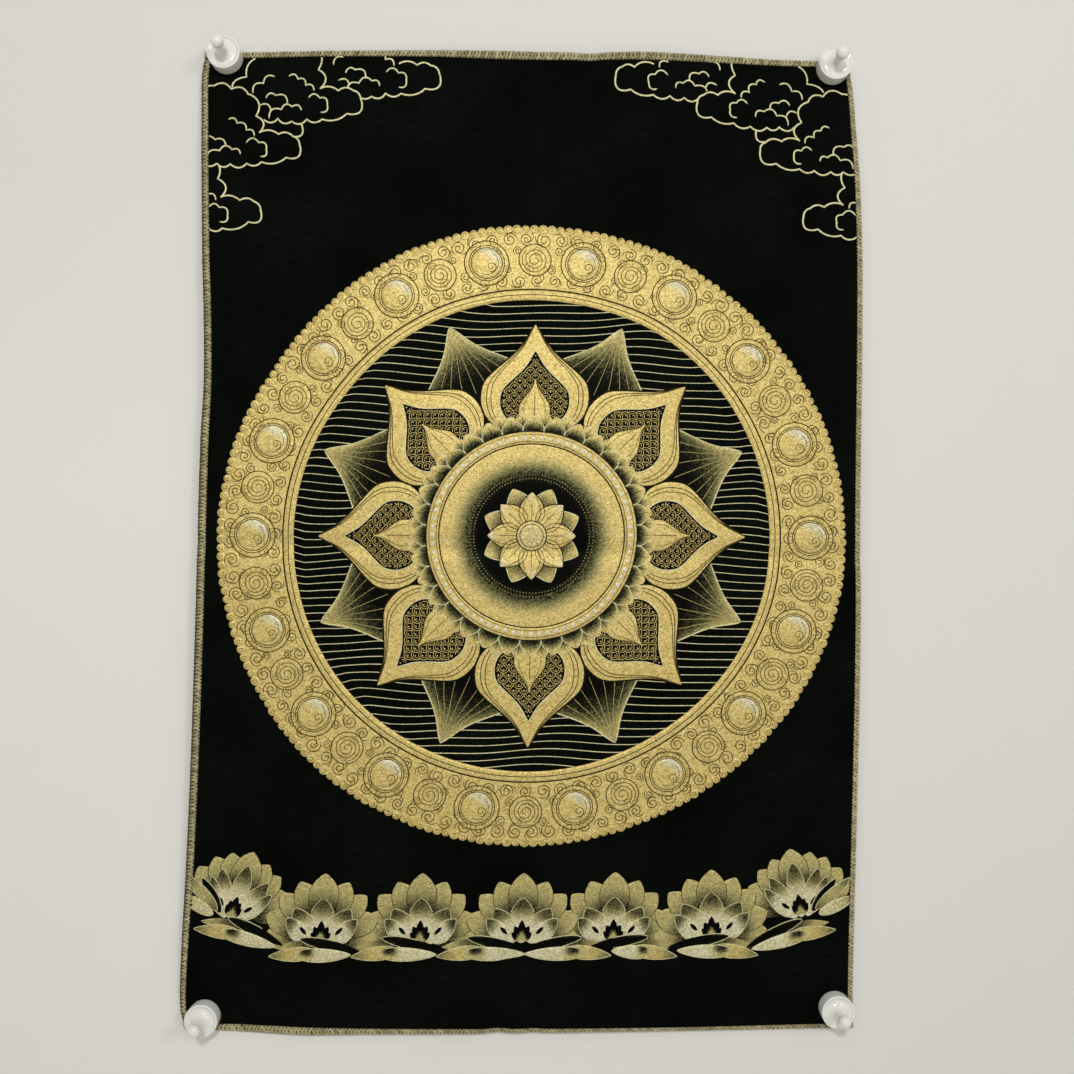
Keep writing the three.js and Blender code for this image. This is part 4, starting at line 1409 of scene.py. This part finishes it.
# the outer and the inner tip of each leaf
LEAVES = [
    ((-290, 804.5), (-217, 823)), ((-222.5, 828), (-149, 830.5)), ((-149, 828), (-72.5, 830.5)),
    ((-72.5, 828), (6.5, 830.5)), ((84, 828.5), (6.5, 830.5)), ((143, 830), (84, 829)),
    ((215.5, 829.5), (142.5, 829)), ((284, 806.5), (210, 828)),
]
for row in FLOWERS:
    flower(*row)
for tips in LEAVES:
    leaves(*tips)
petals.sort(key=lambda entry: entry[0])
outlines = [np.concatenate([left[0], right[0, ::-1]]) for _, (left, right), *_ in petals]
along = gathered(np.linspace(0, 1, PETAL_STEPS))
for number, (layer, sides, tone, pale, rim, rim_tone, bundle) in enumerate(petals):
    rise = 0.08 + LAYER_RISE * layer
    patch(bundle, sides, rise, 0.05, across=7, tone=tone, pale=pale)
    for line in sides if rim else ():
        shown = (along >= rim[0]) & (along <= rim[1])
        shown = in_sight(line[0], shown, outlines[number + 1:], least=6)
        ribbon(lotus_lines, line, 0.36, rise + 0.03, 0.14, tone=rim_tone, keep=shown)
print("flowers", len(FLOWERS), "with", len(petals), "petals and blades")

# %% Sew the bundles on
stitched = [
    sew("gold_floats", golds, "gold_thread"),
    sew("petal_floats", petal_golds, "gold_thread"),
    sew("dark_outline_stitches", darks, "dark_thread"),
    sew("pale_gold_lines", pales, "pale_gold_thread"),
    sew("cream_pearls", creams, "cream_thread"),
    sew("lotus_floats", lotus_golds, "olive_gold_thread"),
    sew("lotus_rim_lines", lotus_lines, "pale_gold_thread"),
]

# %% [markdown]
# ## The cloth's cut size
# The cut size of the cloth is the flat sheet under all of this: 0.607 m by 0.9 m, edging
# included.

# %% [markdown]
# ## The wall, the floor and the light
# The wall is only scenery. It stands a millimetre and a half behind the hanging and takes the
# shadows. Seen from behind it is clear, so the back's outline and edging can be looked at. It still
# keeps the light off the back of the cloth, which stays nearly black there.

# %% Wall and floor
WALL_Y = 0.0015
FLOOR_Z = -1.35
WALL_CORNERS = [(-4, WALL_Y, FLOOR_Z), (4, WALL_Y, FLOOR_Z), (4, WALL_Y, 3), (-4, WALL_Y, 3)]
FLOOR_CORNERS = [(-4, -5, FLOOR_Z), (4, -5, FLOOR_Z), (4, 4, FLOOR_Z), (-4, 4, FLOOR_Z)]


def wall_finish():
    """Matt paint with faint clouds, a lighter patch of painted light low on the left, and a clear
    back.
    """
    material, tree, shader = new_material("wall_paint", roughness=0.9, specular=0.1)
    colour, _ = clouded(tree, 1.6, 2.0, (0.865, 0.86, 0.84), (0.885, 0.88, 0.86))
    place = add_node(tree, "SeparateXYZ", {"Vector": own_place(tree)}).outputs
    # painted light: the wall is made lighter low on the left, where more light falls
    painted_light = sums(tree, "MULTIPLY", rescale(tree, place["Z"], -0.10, -0.40),
                   rescale(tree, place["X"], 0.45, -0.25))
    set_surface(tree, shader, blend_colours(tree, painted_light, colour, paint(0.908, 0.903, 0.883)))
    behind = add_node(tree, "NewGeometry").outputs["Backfacing"]
    clear = add_node(tree, "BsdfTransparent").outputs[0]
    see_through = add_node(tree, "MixShader", {0: behind, 1: shader.outputs[0], 2: clear})
    tree.links.new(see_through.outputs[0], tree.nodes["Material Output"].inputs["Surface"])
    return material


def floor_finish():
    """Matt paint with faint clouds."""
    material, tree, shader = new_material("floor_paint", roughness=0.8, specular=0.1)
    set_surface(tree, shader, clouded(tree, 2.5, 2.0, (0.82, 0.81, 0.79), (0.86, 0.85, 0.83))[0])
    return material


def stage_plane(name, corners, material):
    """A four-cornered sheet of scenery that isn't part of the object."""
    mesh = bpy.data.meshes.new(name)
    mesh.from_pydata(corners, [], [(0, 1, 2, 3)])
    mesh.materials.append(material)
    plane = bpy.data.objects.new(name, mesh)
    bpy.context.scene.collection.objects.link(plane)
    plane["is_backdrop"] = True


stage_plane("wall", WALL_CORNERS, wall_finish())
stage_plane("floor", FLOOR_CORNERS, floor_finish())

# %% Lamps and world
# place, aim, size, power and colour
LAMPS = {
    "ceiling_lamp": ((-0.1, -2.14, 0.41), (0, 0, -0.45), 0.17, 18.3, (1.0, 0.99, 0.965)),
    "window_fill": ((1.9, -2.4, 0.4), (0, 0, -0.5), 0.5, 14, (0.97, 0.985, 1.0)),
    "back_lamp": ((0.8, 2.2, 0.9), (0, 0, -0.45), 1.5, 30, (1.0, 1.0, 1.0)),
}
for name, (place, aim, size, power, colour) in LAMPS.items():
    data = bpy.data.lights.new(name, "AREA")
    data.size = size
    data.energy = power
    data.color = colour
    lamp = bpy.data.objects.new(name, data)
    lamp.location = place
    way = mathutils.Vector(aim) - mathutils.Vector(place)
    lamp.rotation_euler = way.to_track_quat("-Z", "Y").to_euler()
    bpy.context.scene.collection.objects.link(lamp)

world = bpy.data.worlds.new("room")
world.use_nodes = True
world.node_tree.nodes["Background"].inputs["Color"].default_value = paint(0.93, 0.93, 0.92)
world.node_tree.nodes["Background"].inputs["Strength"].default_value = 0.58
bpy.context.scene.world = world
bpy.context.scene.view_settings.view_transform = "Standard"
print("lamps", list(LAMPS))

# %% Sizes
visual_box = [list(corner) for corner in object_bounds()]
grown = [[round(abs(a - b) / MM, 2) for a, b in zip(c, v)] for c, v in zip(cad_box, visual_box)]
print("the dressed part leaves the solids' box by, in mm,", grown)
